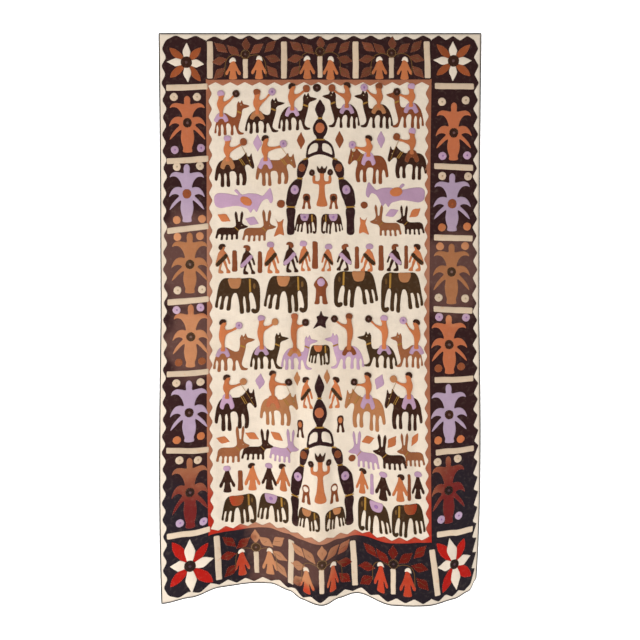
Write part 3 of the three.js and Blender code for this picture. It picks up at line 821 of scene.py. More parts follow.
# Cap, turban and hair of a standing figure, from the middle of its head
HEADWEAR = {
    "cream": ((-14, 20), (-12, 4), (-2, -3), (8, 1), (12, 14), (2, 12), (-6, 16)),
    "lilac": ((-17, 8), (-13, -3), (-2, -7), (10, -5), (15, 4), (12, 14), (0, 17), (-12, 15)),
    "hair": ((-18, 12), (-15, 0), (-4, -6), (8, -4), (12, 6), (2, 8), (-4, 18), (-12, 20)),
}
RIDER_HAIR = (
    (-16, 6), (-14, -6), (-4, -13), (8, -12), (15, -3), (8, 1), (0, 2), (-6, 9), (-12, 12),
)
RIDER_TURBAN = ((-15, 4), (-14, -8), (-4, -14), (8, -12), (15, -4), (12, 6), (0, 9), (-10, 10))

# Collar bands (start, end; share along, share down, millimetres), their width, and the eye's place
# and size
COLLARS = {
    "camel": ((((0.655, -0.25, 0), (0.79, -0.15, 0)),), 7, (0.77, -0.6, 2.6)),
    "horse": (
        (((0.66, -0.06, 0), (0.78, 0.22, 0)), ((0.61, -0.06, 0), (0.73, 0.22, 0))), 3,
        (0.885, 0.02, 2.8),
    ),
    "deer": ((((0.6, 0, -3), (0.735, 0.26, 0)),), 3, (0.83, -0.17, 2.2)),
}

# Rows of animals: rump across, nose across, back down, feet down, cotton, blanket or saddle cotton,
# and for the elephants how far the rump lies below the head and the hind feet below the trunk
CAMELS = (
    (-441, -299, 343, 418, "brown", "lilac"), (-311, -151, 332, 408, "black", "tan"),
    (-172, -17, 317, 398, "black", "lilac"), (164, 13, 306, 387, "black", "lilac"),
    (303, 147, 306, 387, "black", "tan"), (433, 281, 302, 387, "brown", "lilac"),
    (-448, -280, 1334, 1420, "sienna", "lilac"), (-293, -136, 1326, 1412, "olive", "lilac"),
    (-161, -13, 1331, 1408, "lilac", "tan"), (182, 21, 1325, 1406, "lilac", "brown"),
    (321, 161, 1318, 1398, "olive", "lilac"), (430, 300, 1318, 1396, "sienna", "lilac"),
)
HORSES = (
    (-443, -278, 527, 630, "black", "tan"), (-270, -101, 527, 625, "sienna", "lilac"),
    (287, 118, 508, 617, "brown", "lilac"), (451, 286, 498, 600, "black", "brown"),
    (-444, -270, 1547, 1684, "black", "lilac"), (-256, -95, 1550, 1660, "tan", "terracotta"),
    (272, 103, 1538, 1667, "tan", "lilac"), (427, 271, 1530, 1658, "black", "lilac"),
)
# Riders: head across and down, held disc across and down, the mount's back, turban, disc cotton
RIDERS = (
    (-415, 252, -352, 252, 343, "lilac", "black"), (-264, 246, -201, 244, 332, "brown", "lilac"),
    (-117, 221, -57, 231, 317, "black", "brown"), (113, 217, 50, 229, 306, "black", "brown"),
    (247, 221, 185, 226, 306, "brown", "lilac"), (382, 223, 323, 244, 302, "lilac", "black"),
    (-389, 439, -322, 452, 527, "lilac", "brown"), (-230, 437, -154, 460, 527, "black", "lilac"),
    (204, 437, 136, 464, 508, "black", "lilac"), (387, 408, 322, 431, 498, "lilac", "brown"),
    (-411, 1210, -343, 1224, 1334, "black", "lilac"), (-248, 1193, -190, 1208, 1326, "lilac", "tan"),
    (-108, 1185, -60, 1210, 1322, "terracotta", "black"), (123, 1185, 61, 1195, 1318, "brown", "black"),
    (271, 1193, 206, 1195, 1318, "lilac", "black"), (407, 1210, 352, 1202, 1318, "black", "lilac"),
    (-394, 1456, -325, 1475, 1547, "black", "tan"), (-200, 1437, -134, 1471, 1550, "black", "black"),
    (200, 1439, 143, 1471, 1538, "black", "black"), (372, 1434, 308, 1450, 1530, "black", "tan"),
)
ELEPHANTS = (
    (-444, -254, 1023, 1162, "olive", "tan", 0, 0), (-237, -51, 1014, 1158, "olive", "tan", 0, 0),
    (245, 59, 994, 1135, "olive", "tan", 0, 0), (436, 258, 1000, 1156, "olive", "tan", 0, 0),
    (-424, -278, 1984, 2113, "olive", "petal", 14, 0),
    (-275, -141, 1984, 2088, "olive", "lilac", 0, 24),
    (293, 156, 1965, 2112, "olive", "lilac", 30, 0),
    (433, 296, 1984, 2106, "olive", "petal", -12, 0),
    (-106, -13, 753, 831, "black", "lilac", 0, 0), (97, 4, 753, 831, "black", "lilac", 0, 0),
    (-47, 41, 1306, 1386, "olive", "orange", 0, 0),
    (-104, -6, 2012, 2087, "olive", "tan", -8, 8), (106, 14, 2014, 2089, "olive", "tan", -8, 8),
)
DEERS = (
    (-439, -308, 811, 862, "black"), (-325, -190, 812, 868, "sienna"),
    (342, 215, 790, 846, "sienna"), (439, 325, 788, 840, "black"),
    (-439, -306, 1772, 1842, "sienna"), (-334, -203, 1772, 1832, "black"),
    (-217, -96, 1764, 1828, "lilac"), (245, 120, 1778, 1846, "lilac"),
    (356, 224, 1772, 1834, "black"), (433, 322, 1760, 1820, "sienna"),
)
BIRDS = ((-447, -203, 666, 730, "lilac"), (443, 198, 642, 706, "lilac"))
WINGS = ((-312, 699, 27, 17, 28), (321, 661, 27, 19, -12))

# Standing figures: across, top, bottom, width share, cotton, head cotton
WALKERS = (
    (-414, 875, 1002, 1, "orange", "black"), (-309, 880, 1006, 1, "black", "brown"),
    (-207, 867, 1002, 1, "orange", "lilac"), (-127, 867, 998, 1, "black", "brown"),
    (-68, 863, 993, 0.8, "orange", "lilac"), (34, 876, 994, -0.8, "orange", "lilac"),
    (106, 875, 991, -1, "black", "brown"), (207, 875, 995, -1, "orange", "lilac"),
    (317, 875, 993, -1, "black", "brown"), (410, 875, 993, -1, "orange", "black"),
    (-60, 1439, 1577, 0.8, "orange", "black"), (67, 1441, 1579, -0.9, "orange", "black"),
)
FIGURES = (
    (-397, 1855, 1973, 1, "black", "lilac"), (-293, 1846, 1970, 1, "orange", "black"),
    (-222, 1845, 1964, 1, "black", "lilac"), (-162, 1833, 1954, 0.9, "orange", "black"),
    (174, 1848, 1958, -0.8, "orange", "black"), (261, 1847, 1966, -1, "black", "lilac"),
    (331, 1851, 1964, -1, "orange", "black"), (405, 1842, 1955, -0.8, "black", "lilac"),
)
BORDER_FIGURES = (
    (-364, 99, 190, 1, "orange", "cream"), (-255, 92, 188, -1, "orange", "cream"),
    (-53, 92, 188, 1, "orange", "cream"), (44, 94, 190, -1, "orange", "cream"),
    (249, 94, 188, 1, "orange", "cream"), (354, 96, 190, -1, "orange", "cream"),
    (-345, 2233, 2355, 1, "orange", "cream"), (-229, 2231, 2353, -1, "orange", "cream"),
    (-64, 2251, 2363, 1, "orange", "cream"), (45, 2230, 2354, -0.8, "orange", "cream"),
    (251, 2227, 2355, 0.9, "orange", "cream"), (359, 2237, 2357, -1, "orange", "cream"),
)
# Posts: across, top, bottom, width, cotton
POSTS = (
    (-361, 905, 997, 20, "brown"), (-254, 909, 1002, 18, "brown"), (-21, 867, 985, 22, "brown"),
    (156, 889, 985, 17, "brown"), (258, 884, 993, 20, "brown"), (364, 884, 985, 15, "brown"),
    (-343, 1877, 1972, 19, "brown"), (215, 1866, 1957, 14, "lilac"), (368, 1850, 1963, 13, "brown"),
)
# Pointed shapes: across, down, half length, half width, turn in degrees from upright, cotton
POINTED = (
    (-263, 456, 36, 18, 0, "lilac"), (-80, 447, 36, 17, 0, "brown"), (82, 443, 36, 18, 0, "brown"),
    (257, 441, 36, 17, 0, "lilac"), (-255, 1475, 36, 20, 4, "lilac"), (-98, 1452, 32, 14, 0, "tan"),
    (28, 1443, 32, 13, 0, "tan"), (250, 1465, 36, 20, 20, "lilac"),
    (-405, 770, 30, 18, -62, "orange"), (-287, 783, 30, 19, -70, "lilac"),
    (304, 749, 30, 17, 66, "lilac"), (401, 749, 30, 17, 52, "orange"),
    (-412, 1737, 30, 17, -72, "orange"), (-291, 1723, 32, 17, -62, "orange"),
    (-186, 1716, 30, 19, -58, "orange"), (200, 1721, 29, 18, 66, "orange"),
    (299, 1717, 31, 18, 34, "orange"), (395, 1707, 31, 14, 28, "orange"),
)
# Cotton of a disc's core, by the disc's own cotton
CORES = {"black": "faded", "lilac": "purple"}
# Discs: across, down, radius, cotton, level
DISCS = (
    (-13, 227, 17, "black", 1), (-165, 711, 17, "brown", 1), (186, 716, 15, "brown", 1),
    (132, 1804, 15, "brown", 1),
    (-559, 122, 24, "black", 3), (558, 116, 24, "black", 3),
    (-556, 2265, 24, "black", 3), (559, 2249, 21, "black", 3),
    (-312, 89, 17, "black", 2), (0, 78, 17, "black", 2), (299, 83, 17, "black", 2),
    (-285, 2233, 18, "black", 2), (0, 2230, 18, "black", 2), (302, 2227, 18, "black", 2),
)
STAR = (
    (0, -40), (9, -14), (34, -10), (18, 12), (22, 40), (-4, 26), (-36, 42), (-14, 8), (-20, -14),
    (-8, -16),
)
STAR_PLACE = (4, 1197)
KNOT = (
    (-14, -34), (-4, -22), (10, -26), (18, -34), (16, -8), (20, 36), (4, 30), (-20, 40), (-12, 12),
    (-6, -8),
)
KNOTS = ((-173, 808, 1), (186, 800, -1))
GATE = (
    (0, -58), (22, -40), (30, -22), (22, -6), (24, 40), (28, 58), (8, 58), (4, 26), (-4, 26), (-8, 58),
    (-28, 58), (-24, 40), (-22, -6), (-30, -22), (-22, -40),
)
GATE_PLACE = (4, 1074)

# Corner flowers: how full the petals are, the centre across and down, then from there the tips of the
# upright and the slanted petals
FLOWERS = (
    ("top_left", 0.88, -559, 122,
     ((2, -82), (76, 8), (6, 84), (-84, -2)), ((63, -61), (60, 80), (-70, 64), (-72, -61))),
    ("top_right", 0.88, 557, 117,
     ((-2, -84), (80, -2), (0, 84), (-84, -4)), ((72, -70), (74, 62), (-70, 60), (-70, -71))),
    ("bottom_left", 1.15, -556, 2264,
     ((1, -116), (97, -2), (5, 118), (-81, -14)), ((76, -78), (91, 104), (-82, 72), (-70, -115))),
    ("bottom_right", 1.18, 561, 2248,
     ((-26, -116), (77, -11), (10, 116), (-79, -1)), ((44, -100), (84, 86), (-55, 112), (-82, -106))),
)
# Petals: along and aside, in shares of the petal's length and half width
UPRIGHT_PETAL = ((0.14, 0.46), (0.38, 0.86), (0.54, 1.04), (0.64, 0.86), (0.82, 0.42), (1.0, 0.0))
SLANTED_PETAL = ((0.16, 0.5), (0.34, 0.86), (0.56, 1.06), (0.76, 0.86), (0.9, 0.44), (1.0, 0.0))
PETAL_HALF_WIDTH = {"cross": 19, "diagonal": 17}

# Palms: across, eye down, crown down, foot down, half spread, cotton
LEFT_PALMS = (
    (-557, 373, 260, 493, 77, "terracotta"), (-561, 669, 544, 785, 75, "lilac"),
    (-550, 966, 832, 1084, 78, "tan"), (-546, 1273, 1134, 1402, 76, "terracotta"),
    (-551, 1602, 1462, 1728, 78, "lilac"), (-550, 1949, 1798, 2100, 74, "madder"),
)
RIGHT_PALMS = (
    (562, 414, 287, 526, 75, "terracotta"), (557, 711, 583, 823, 78, "lilac"),
    (556, 997, 878, 1130, 78, "tan"), (545, 1305, 1178, 1428, 76, "terracotta"),
    (540, 1605, 1474, 1724, 76, "lilac"), (534, 1930, 1783, 2068, 72, "madder"),
)
# Cottons that the palms of a colour are really cut from
PALM_COTTONS = {"lilac": "orchid", "tan": "sienna"}
# Right edge of a palm from its crown: aside in shares of its spread, and up or down from its eye
PALM_EDGE = (
    (0.13, -0.95), (0.17, -0.84), (0.17, -0.70), (0.42, -0.72), (0.68, -0.73), (0.88, -0.66),
    (0.95, -0.55), (0.80, -0.58), (0.58, -0.56), (0.42, -0.46), (0.33, -0.35), (0.29, -0.21),
    (0.46, -0.23), (0.70, -0.20), (0.90, -0.07), (1.00, 0.12), (0.83, 0.04), (0.62, 0.01),
    (0.44, 0.07), (0.62, 0.20), (0.84, 0.37), (0.97, 0.58), (0.74, 0.46), (0.52, 0.32),
    (0.33, 0.24), (0.36, 0.50), (0.31, 0.72), (0.24, 0.86), (0.25, 1.00),
)
# Dots round the palms: across, down, cotton
DOTS = (
    (-613, 265, "cream"), (-516, 265, "cream"), (-611, 485, "lilac"), (-501, 477, "lilac"),
    (-603, 556, "cream"), (-506, 552, "cream"), (-604, 779, "orange"), (-498, 774, "orange"),
    (-602, 850, "orange"), (-507, 846, "orange"), (-603, 1075, "cream"), (-499, 1071, "cream"),
    (-607, 1158, "lilac"), (-506, 1147, "lilac"), (-595, 1384, "brown"), (-498, 1380, "brown"),
    (-604, 1472, "cream"), (-504, 1472, "cream"), (-601, 1718, "orange"), (-503, 1710, "orange"),
    (-591, 1806, "cream"), (-516, 1813, "cream"), (-592, 2076, "lilac"), (-497, 2087, "lilac"),
    (512, 285, "cream"), (611, 279, "cream"), (516, 510, "lilac"), (619, 508, "lilac"),
    (515, 594, "cream"), (624, 596, "cream"), (515, 810, "orange"), (621, 806, "orange"),
    (507, 890, "orange"), (613, 888, "orange"), (502, 1105, "cream"), (614, 1109, "cream"),
    (504, 1187, "lilac"), (618, 1189, "lilac"), (498, 1406, "brown"), (594, 1400, "brown"),
    (492, 1712, "orange"), (588, 1713, "orange"), (488, 1803, "cream"), (575, 1796, "cream"),
    (500, 2048, "lilac"), (578, 2043, "lilac"),
)
DOT_RADIUS = 17

# Leaves on the border's panels: disc across and down, then each leaf's place
PANEL_LEAVES = (
    (-312, 89, (
        (-309, 50), (-362, 74), (-264, 66), (-414, 62), (-208, 56), (-421, 116), (-196, 106),
        (-421, 167), (-199, 160),
    )),
    (0, 78, (
        (3, 44), (-50, 66), (46, 62), (-98, 56), (101, 60), (-103, 106), (104, 110), (-104, 160),
        (103, 164),
    )),
    (299, 83, (
        (302, 44), (249, 66), (350, 64), (202, 58), (402, 56), (196, 108), (404, 106), (194, 162),
        (410, 162),
    )),
    (-285, 2233, (
        (-287, 2184), (-395, 2199), (-338, 2211), (-243, 2206), (-190, 2192), (-403, 2262),
        (-188, 2256), (-392, 2330), (-182, 2314),
    )),
    (0, 2230, (
        (1, 2182), (-53, 2204), (45, 2192), (-102, 2196), (94, 2184), (-103, 2262), (98, 2251),
        (-104, 2328), (98, 2318),
    )),
    (302, 2227, (
        (300, 2180), (258, 2205), (350, 2202), (208, 2196), (410, 2176), (192, 2272), (408, 2240),
        (190, 2332), (420, 2308),
    )),
)
# Leaf sizes above and below, and how each leaf of a panel is turned from upright
LEAF = {"top": (35, 18), "bottom": (37.5, 20)}
LEAF_TURNS = (0, -48, 52, -54, 44, -100, 104, -134, 136)
# Stem from a panel's disc to its side leaves, from the disc's middle
BRANCH = ((16, 8), (42, 2), (70, 12), (84, 40), (86, 92))
# Cream stems under the panels' discs: across, top, bottom
STEMS = (
    (-312, 108, 188), (0, 97, 186), (299, 102, 187),
    (-285, 2253, 2352), (-2, 2250, 2350), (301, 2247, 2352),
)

# Shrine in its own pattern, and the places that the lower one's heights are read from
UPPER_DOWN = (277, 310, 352, 393, 447, 514, 552, 657, 724, 842)
LOWER_DOWN = (1430, 1479, 1530, 1593, 1661, 1742, 1772, 1882, 1964, 2097)
FINIAL = (
    (0, 276), (10, 289), (19, 304), (22, 317), (15, 335), (6, 351), (-6, 351), (-15, 335), (-22, 317),
    (-19, 304), (-10, 289),
)
BULB = (
    (-7, 356), (7, 356), (22, 370), (32, 392), (28, 414), (16, 432), (13, 440), (-13, 440), (-16, 432),
    (-28, 414), (-32, 392), (-22, 370),
)
CAP = (
    (-20, 443), (20, 443), (38, 452), (52, 466), (59, 486), (62, 515), (56, 522), (46, 517), (22, 507),
    (0, 504), (-22, 507), (-46, 517), (-56, 522), (-62, 515), (-59, 486), (-52, 466), (-38, 452),
)
WINDOW = ((11, 459), (26, 458), (40, 467), (48, 481), (51, 504), (36, 498), (22, 493), (13, 490))
UPPER_SIDE = (
    (54, 524), (72, 526), (88, 536), (98, 554), (102, 578), (98, 599), (79, 602), (66, 584), (57, 562),
    (51, 541),
)
LOWER_SIDE = (
    (80, 608), (104, 608), (124, 624), (139, 646), (146, 676), (146, 718), (110, 720), (99, 696),
    (88, 668), (81, 640),
)
COLUMN = ((111, 729), (145, 729), (144, 780), (142, 838), (116, 838), (113, 790))
SHRINE_DISCS = (
    (0, 393, 19, "terracotta", 2), (79, 560, 15, "brown", 2), (-79, 560, 15, "brown", 2),
    (111, 652, 17, "lilac", 2), (-111, 652, 17, "lilac", 2),
)
SHRINE_BANDS = (
    ((-10, 353), (10, 353)), ((-20, 442), (20, 442)), ((52, 519), (73, 526)),
    ((-52, 519), (-73, 526)), ((76, 606), (101, 603)), ((-76, 606), (-101, 603)),
    ((109, 725), (147, 723)), ((-109, 725), (-147, 723)),
)
# In the upper and the lower shrine: the crowned figure (middle, top, bottom), the discs in its hands,
# the figures at its feet and the cotton of their discs
SHRINES = (
    ((8, 552, 720), ((-34, 581), (43, 579)), ((-57, 674, 732), (57, 674, 732)), "black"),
    ((-3, 1762, 1972), ((-41, 1812), (32, 1808)), ((-63, 1910, 1985), (55, 1910, 1985)), "cream"),
)
# Small figures over the lower shrine's steps: across, top, bottom
KEEPERS = ((-86, 1630, 1707), (84, 1612, 1686))


# Helpers that draw with the patterns

def blob(across, down, half_across, half_down, turn=0.0, points=22):
    """Return an oval outline."""
    angle = np.linspace(0, 2 * math.pi, points, endpoint=False)
    x, y = np.cos(angle) * half_across, np.sin(angle) * half_down
    turn = math.radians(turn)
    return np.column_stack([
        across + x * math.cos(turn) - y * math.sin(turn),
        down + x * math.sin(turn) + y * math.cos(turn),
    ])


def pointed(across, down, half_length, half_width, turn):
    """Return a leaf outline with two points."""
    half = [(0, -1), (0.34, -0.68), (0.8, -0.28), (1, 0.04), (0.76, 0.38), (0.32, 0.74)]
    shape = half + [(-x, -y) for x, y in half]
    turn = math.radians(turn)
    return [
        (
            across + x * half_width * math.cos(turn) - y * half_length * math.sin(turn),
            down + x * half_width * math.sin(turn) + y * half_length * math.cos(turn),
        )
        for x, y in shape
    ]


def placed(pattern, rump, nose, back, feet):
    """Return an animal's outline between its rump, nose, back and feet."""
    return [(rump + (nose - rump) * x / 100, back + (feet - back) * y / 100) for x, y in pattern]


def standing(pattern, across, top, bottom, share):
    """Return a figure's outline between its top and its bottom."""
    return [(across + x * share, top + (bottom - top) * y / 100) for x, y in pattern]


def moved(pattern, across, down, side=1):
    """Return a pattern moved to a place, and mirrored where the side is -1."""
    return [(across + x * side, down + y) for x, y in pattern]


def strip(route, width):
    """Return the outline of a short strip along a route."""
    route = np.array(route, float)
    run = np.gradient(route, axis=0)
    run /= np.linalg.norm(run, axis=1, keepdims=True)
    aside = quarter(run) * width / 2
    return np.concatenate([route + aside, (route - aside)[::-1]])


def smooth(points, pitch=6.0):
    """Return an open curve through the given places."""
    points = np.array(points, float)
    padded = np.concatenate([[2 * points[0] - points[1]], points, [2 * points[-1] - points[-2]]])
    result = []
    for p0, p1, p2, p3 in zip(padded, padded[1:], padded[2:], padded[3:]):
        steps = max(2, int(np.hypot(*(p2 - p1)) / pitch))
        for step in range(steps):
            t = step / steps
            result.append(0.5 * (
                2 * p1 + (p2 - p0) * t + (2 * p0 - 5 * p1 + 4 * p2 - p3) * t ** 2
                + (3 * p1 - p0 - 3 * p2 + p3) * t ** 3
            ))
    return np.array(result + [points[-1]])


def petal_outline(petal, centre, tip, half_width):
    """Return a petal's outline from its flower's centre to its tip."""
    reach = math.hypot(*tip)
    shape = petal + tuple((along, -aside) for along, aside in reversed(petal[:-1]))
    return [
        (
            centre[0] + tip[0] * along - tip[1] / reach * half_width * aside,
            centre[1] + tip[1] * along + tip[0] / reach * half_width * aside,
        )
        for along, aside in shape
    ]


def rider(head_x, head_y, disc_x, disc_y, back):
    """Return a rider's outline: face, rounded back, seat and one arm stretched to the held disc."""
    s = 1 if disc_x > head_x else -1
    seat = back + 4
    tall = seat - head_y
    hand_x, hand_y = disc_x - s * 11, disc_y + 11
    return [
        (head_x - s * 10, head_y + 2), (head_x, head_y - 9), (head_x + s * 13, head_y - 2),
        (head_x + s * 13, head_y + 10), (head_x + s * 9, head_y + 20), (head_x + s * 11, head_y + 32),
        ((head_x + s * 16 + hand_x) / 2, (head_y + 36 + hand_y) / 2),
        (hand_x - s * 2, hand_y - 4), (hand_x + s * 4, hand_y + 1), (hand_x - s, hand_y + 6),
        ((head_x + s * 22 + hand_x) / 2, (head_y + 54 + hand_y) / 2), (head_x + s * 13, head_y + 57),
        (head_x + s * 8, head_y + tall * 0.8), (head_x + s * 9, seat), (head_x - s * 8, seat),
        (head_x - s * 7, head_y + tall * 0.8), (head_x - s * 15, head_y + tall * 0.6),
        (head_x - s * 17, head_y + tall * 0.42), (head_x - s * 11, head_y + 20),
    ]


def saddle(across, back, height):
    """Return the two-lobed saddle cloth under a rider."""
    half = ((14, -0.10), (26, 0.14), (30, 0.34), (17, 0.42), (8, 0.24))
    return (
        [(across - 14, back - height * 0.10), (across, back - height * 0.14)]
        + [(across + x, back + height * y) for x, y in half] + [(across, back + height * 0.20)]
        + [(across - x, back + height * y) for x, y in reversed(half[1:])]
    )


def blanket(middle, half, back, drop):
    """Return the blanket that hangs over an elephant's back."""
    return [
        (middle - half, back + 2), (middle, back + 1), (middle + half, back + 2),
        (middle + half * 0.94, back + drop * 0.55), (middle + half * 0.6, back + drop * 0.92),
        (middle, back + drop),
        (middle - half * 0.6, back + drop * 0.92), (middle - half * 0.94, back + drop * 0.55),
    ]


def lowered(points, lower):
    """Fit a shrine pattern to the upper or the lower shrine."""
    if not lower:
        return [(x * (0.96 if x < 0 else 1), y) for x, y in points]
    return [
        (x * (0.84 if x < 0 else 0.97) - 5, float(np.interp(y, UPPER_DOWN, LOWER_DOWN)))
        for x, y in points
    ]


def figure(sewing, pattern, row, level):
    """Sew on a standing figure and the hair, turban or cap on its head."""
    across, top, low, share, name, head = row
    sewing.cut(standing(pattern, across, top + 6, low, share), level, name)
    side = 1 if share > 0 else -1
    shape = HEADWEAR.get(head, HEADWEAR["hair"])
    if pattern is WALKER:
        side = side if head == "black" else -side
        shape = moved(shape, 3, 4)
    sewing.cut(moved(shape, across, top + 6, side), level + 1, head)


def beast(sewing, pattern, kind, row):
    """Sew on a camel, a horse or a deer with its collar and its eye."""
    rump, nose, back, feet, name = row[:5]
    long, tall = nose - rump, feet - back
    bands, width, (eye_x, eye_y, eye) = COLLARS[kind]
    sewing.cut(placed(pattern, rump, nose, back, feet), 0, name)
    for ends in bands:
        route = [(rump + long * x, back + tall * y + more) for x, y, more in ends]
        sewing.band(route, width, 1, "gold")
    sewing.dot(rump + long * eye_x, back + tall * eye_y, eye, eye, 1, "thread", points=8)


def elephant(sewing, row):
    """Sew on an elephant with its blanket, its collar and its ear."""
    rump, nose, back, feet, name, cloth, fall, foot_fall = row
    long, tall = nose - rump, feet - back
    outline = []
    for x, y in placed(ELEPHANT, rump, nose, back, feet):
        behind, under = max(0, 1 - (x - rump) / long), min(1, max(0, (y - back) / tall))
        outline.append((x, y + behind * (fall * (1 - under) + foot_fall * under)))
    sewing.cut(outline, 0, name)
    middle, half = rump + long * 0.44, abs(long) * (0.14 if abs(long) > 170 else 0.19)
    drop = min(half * 1.7, tall * 0.42)
    back += fall * 0.55
    sewing.cut(blanket(middle, half, back, drop), 1, cloth)
    if cloth == "lilac":
        sewing.dot(middle, back + drop * 0.48, half * 0.3, half * 0.32, 2, "purple", points=12)
    back -= fall * 0.4
    collar = rump + long * 0.775
    width = 6 if abs(long) < 120 else 8
    sewing.band([(collar, back + 3), (collar + long * 0.01, back + tall * 0.42)], width, 1, "gold")
    ear_x, ear_y = rump + long * 0.875, back + tall * 0.24
    sewing.dot(ear_x, ear_y, abs(long) * 0.03, tall * 0.09, 1, "bronze", points=12)


def mounted(sewing, row):
    """Sew on a rider with the saddle cloth, the rein, the turban or hair and the held disc."""
    head_x, head_y, disc_x, disc_y, place, turban, disc = row
    mount = min(
        CAMELS + HORSES,
        key=lambda beast: abs(beast[2] - place) * 3 + abs(beast[0] * 0.72 + beast[1] * 0.28 - head_x),
    )
    nose, back, feet, cloth = mount[1], mount[2], mount[3], mount[5]
    tall = feet - back
    side = 1 if disc_x > head_x else -1
    on_horse = mount in HORSES
    sewing.cut(saddle(head_x, back if on_horse else back - 2, tall * 0.92), 1, cloth)
    sewing.cut(rider(head_x, head_y, disc_x, disc_y, back), 2, "orange")
    if on_horse:
        mouth_x, mouth_y = nose - side * 12, back + tall * 0.26
        rein = [
            (disc_x - side * 10, disc_y + 14),
            ((disc_x + mouth_x) / 2 - side * 4, (disc_y + mouth_y) / 2 + 4), (mouth_x, mouth_y),
        ]
        sewing.band(smooth(rein), 1.7, 2, "gold", thick=0.35)
    hair = RIDER_HAIR if turban == "black" else RIDER_TURBAN
    sewing.cut(moved(hair, head_x, head_y, side), 3, turban)
    sewing.cut(blob(disc_x, disc_y, 15, 16), 3, disc)
    if disc in CORES:
        sewing.dot(disc_x, disc_y, 4.5, 5, 4, CORES[disc])


# Settings, operators and the sidebar panel

def millimetres(name, description, default, least):
    """Return a size in millimetres for the sidebar."""
    return FloatProperty(
        name=name, description=description + " in millimetres", default=default, min=least
    )


class KanduriSettings(bpy.types.PropertyGroup):
    """Sizes in millimetres that every piece of the cloth shares, and the camera's place."""

    ground_pitch: millimetres("Ground pitch", "Mesh pitch of the ground cloth", 9.0, 4.0)
    patch_pitch: millimetres("Patch pitch", "Largest mesh pitch on sewn pieces", 9.0, 3.0)
    ground_thickness: millimetres("Ground thickness", "Thickness of the ground cloth", 1.3, 0.5)
    patch_thickness: millimetres("Patch thickness", "Sewn layer with its turned edge", 0.8, 0.3)
    layer_gap: millimetres("Layer gap", "Slack between two layers", 0.1, 0.02)
    turned_edge: millimetres("Turned edge", "Width over which a sewn edge rises", 2.0, 0.5)
    stitch_gap: millimetres("Stitch gap", "Distance between two hem stitches", 9.0, 4.0)
    stitch_length: millimetres("Stitch length", "Length of one hem stitch", 3.2, 1.0)
    ground_inset: millimetres("Ground inset", "From the binding's edge to the ground's", 3.6, 0.5)
    binding_width: millimetres("Binding width", "Width of the rolled dark edge", 4.6, 2.0)
    camera_distance: FloatProperty(
        name="Camera distance", description="Camera to the cloth's middle", default=2.9,
        unit="LENGTH",
    )
    camera_elevation: FloatProperty(
        name="Camera elevation", description="Height angle of the camera",
        default=math.radians(2.0), subtype="ANGLE",
    )


class KanduriCottons(bpy.types.PropertyGroup):
    """Colours of the cottons as worn over most of the cloth."""

    __annotations__ = {
        name: FloatVectorProperty(
            name=name.capitalize(), description=f"Colour of the {name} cotton as worn",
            default=linear(colours[0]), size=4, min=0.0, max=1.0, subtype="COLOR",
        )
        for name, colours in COTTONS.items()
    }


class KANDURI_OT_ground(bpy.types.Operator):
    """Weave the cream ground cloth"""

    bl_idname = "kanduri.ground"
    bl_label = "Ground cloth"

    def execute(self, context):
        made = tools()
        inset = context.scene.kanduri.ground_inset
        pitch = context.scene.kanduri.ground_pitch
        wide, long = 2 * (CLOTH_HALF_WIDTH - inset), CLOTH_LENGTH - 2 * inset
        columns, rows = int(round(wide / pitch)) + 1, int(round(long / pitch)) + 1
        across = np.linspace(inset - CLOTH_HALF_WIDTH, CLOTH_HALF_WIDTH - inset, columns)
        down = np.linspace(inset, CLOTH_LENGTH - inset, rows)
        x, y = (grid.ravel() for grid in np.meshgrid(across, down))
        count = columns * rows
        faces = []
        for row in range(rows - 1):
            for column in range(columns - 1):
                p = row * columns + column
                q = count + p
                faces.append((p, p + columns, p + columns + 1, p + 1))
                faces.append((q, q + 1, q + columns + 1, q + columns))
        rim = (
            list(range(columns)) + [row * columns + columns - 1 for row in range(1, rows)]
            + [(rows - 1) * columns + column for column in range(columns - 2, -1, -1)]
            + [row * columns for row in range(rows - 2, 0, -1)]
        )
        faces += [(p, q, count + q, count + p) for p, q in zip(rim, rim[1:] + rim[:1])]
        front = np.column_stack([x, y, np.full(count, made.ground), np.zeros(count), np.zeros(count)])
        back = front.copy()
        back[:, 2] = 0.0
        table = np.concatenate([front, back])
        made.sheet = made.make(
            "ground", table, faces, ["cream"], [0] * len(faces), "cream", ("ground_cloth",)
        )
        return {"FINISHED"}


# Rolled edge in millimetres: pitch along it, sides of its section, how far forward its middle lies,
# its half depth, and how much its roll varies
ROLL = {"pitch": 9.0, "sides": 8, "forward": 1.35, "half_depth": 1.75, "ripple": 0.08}


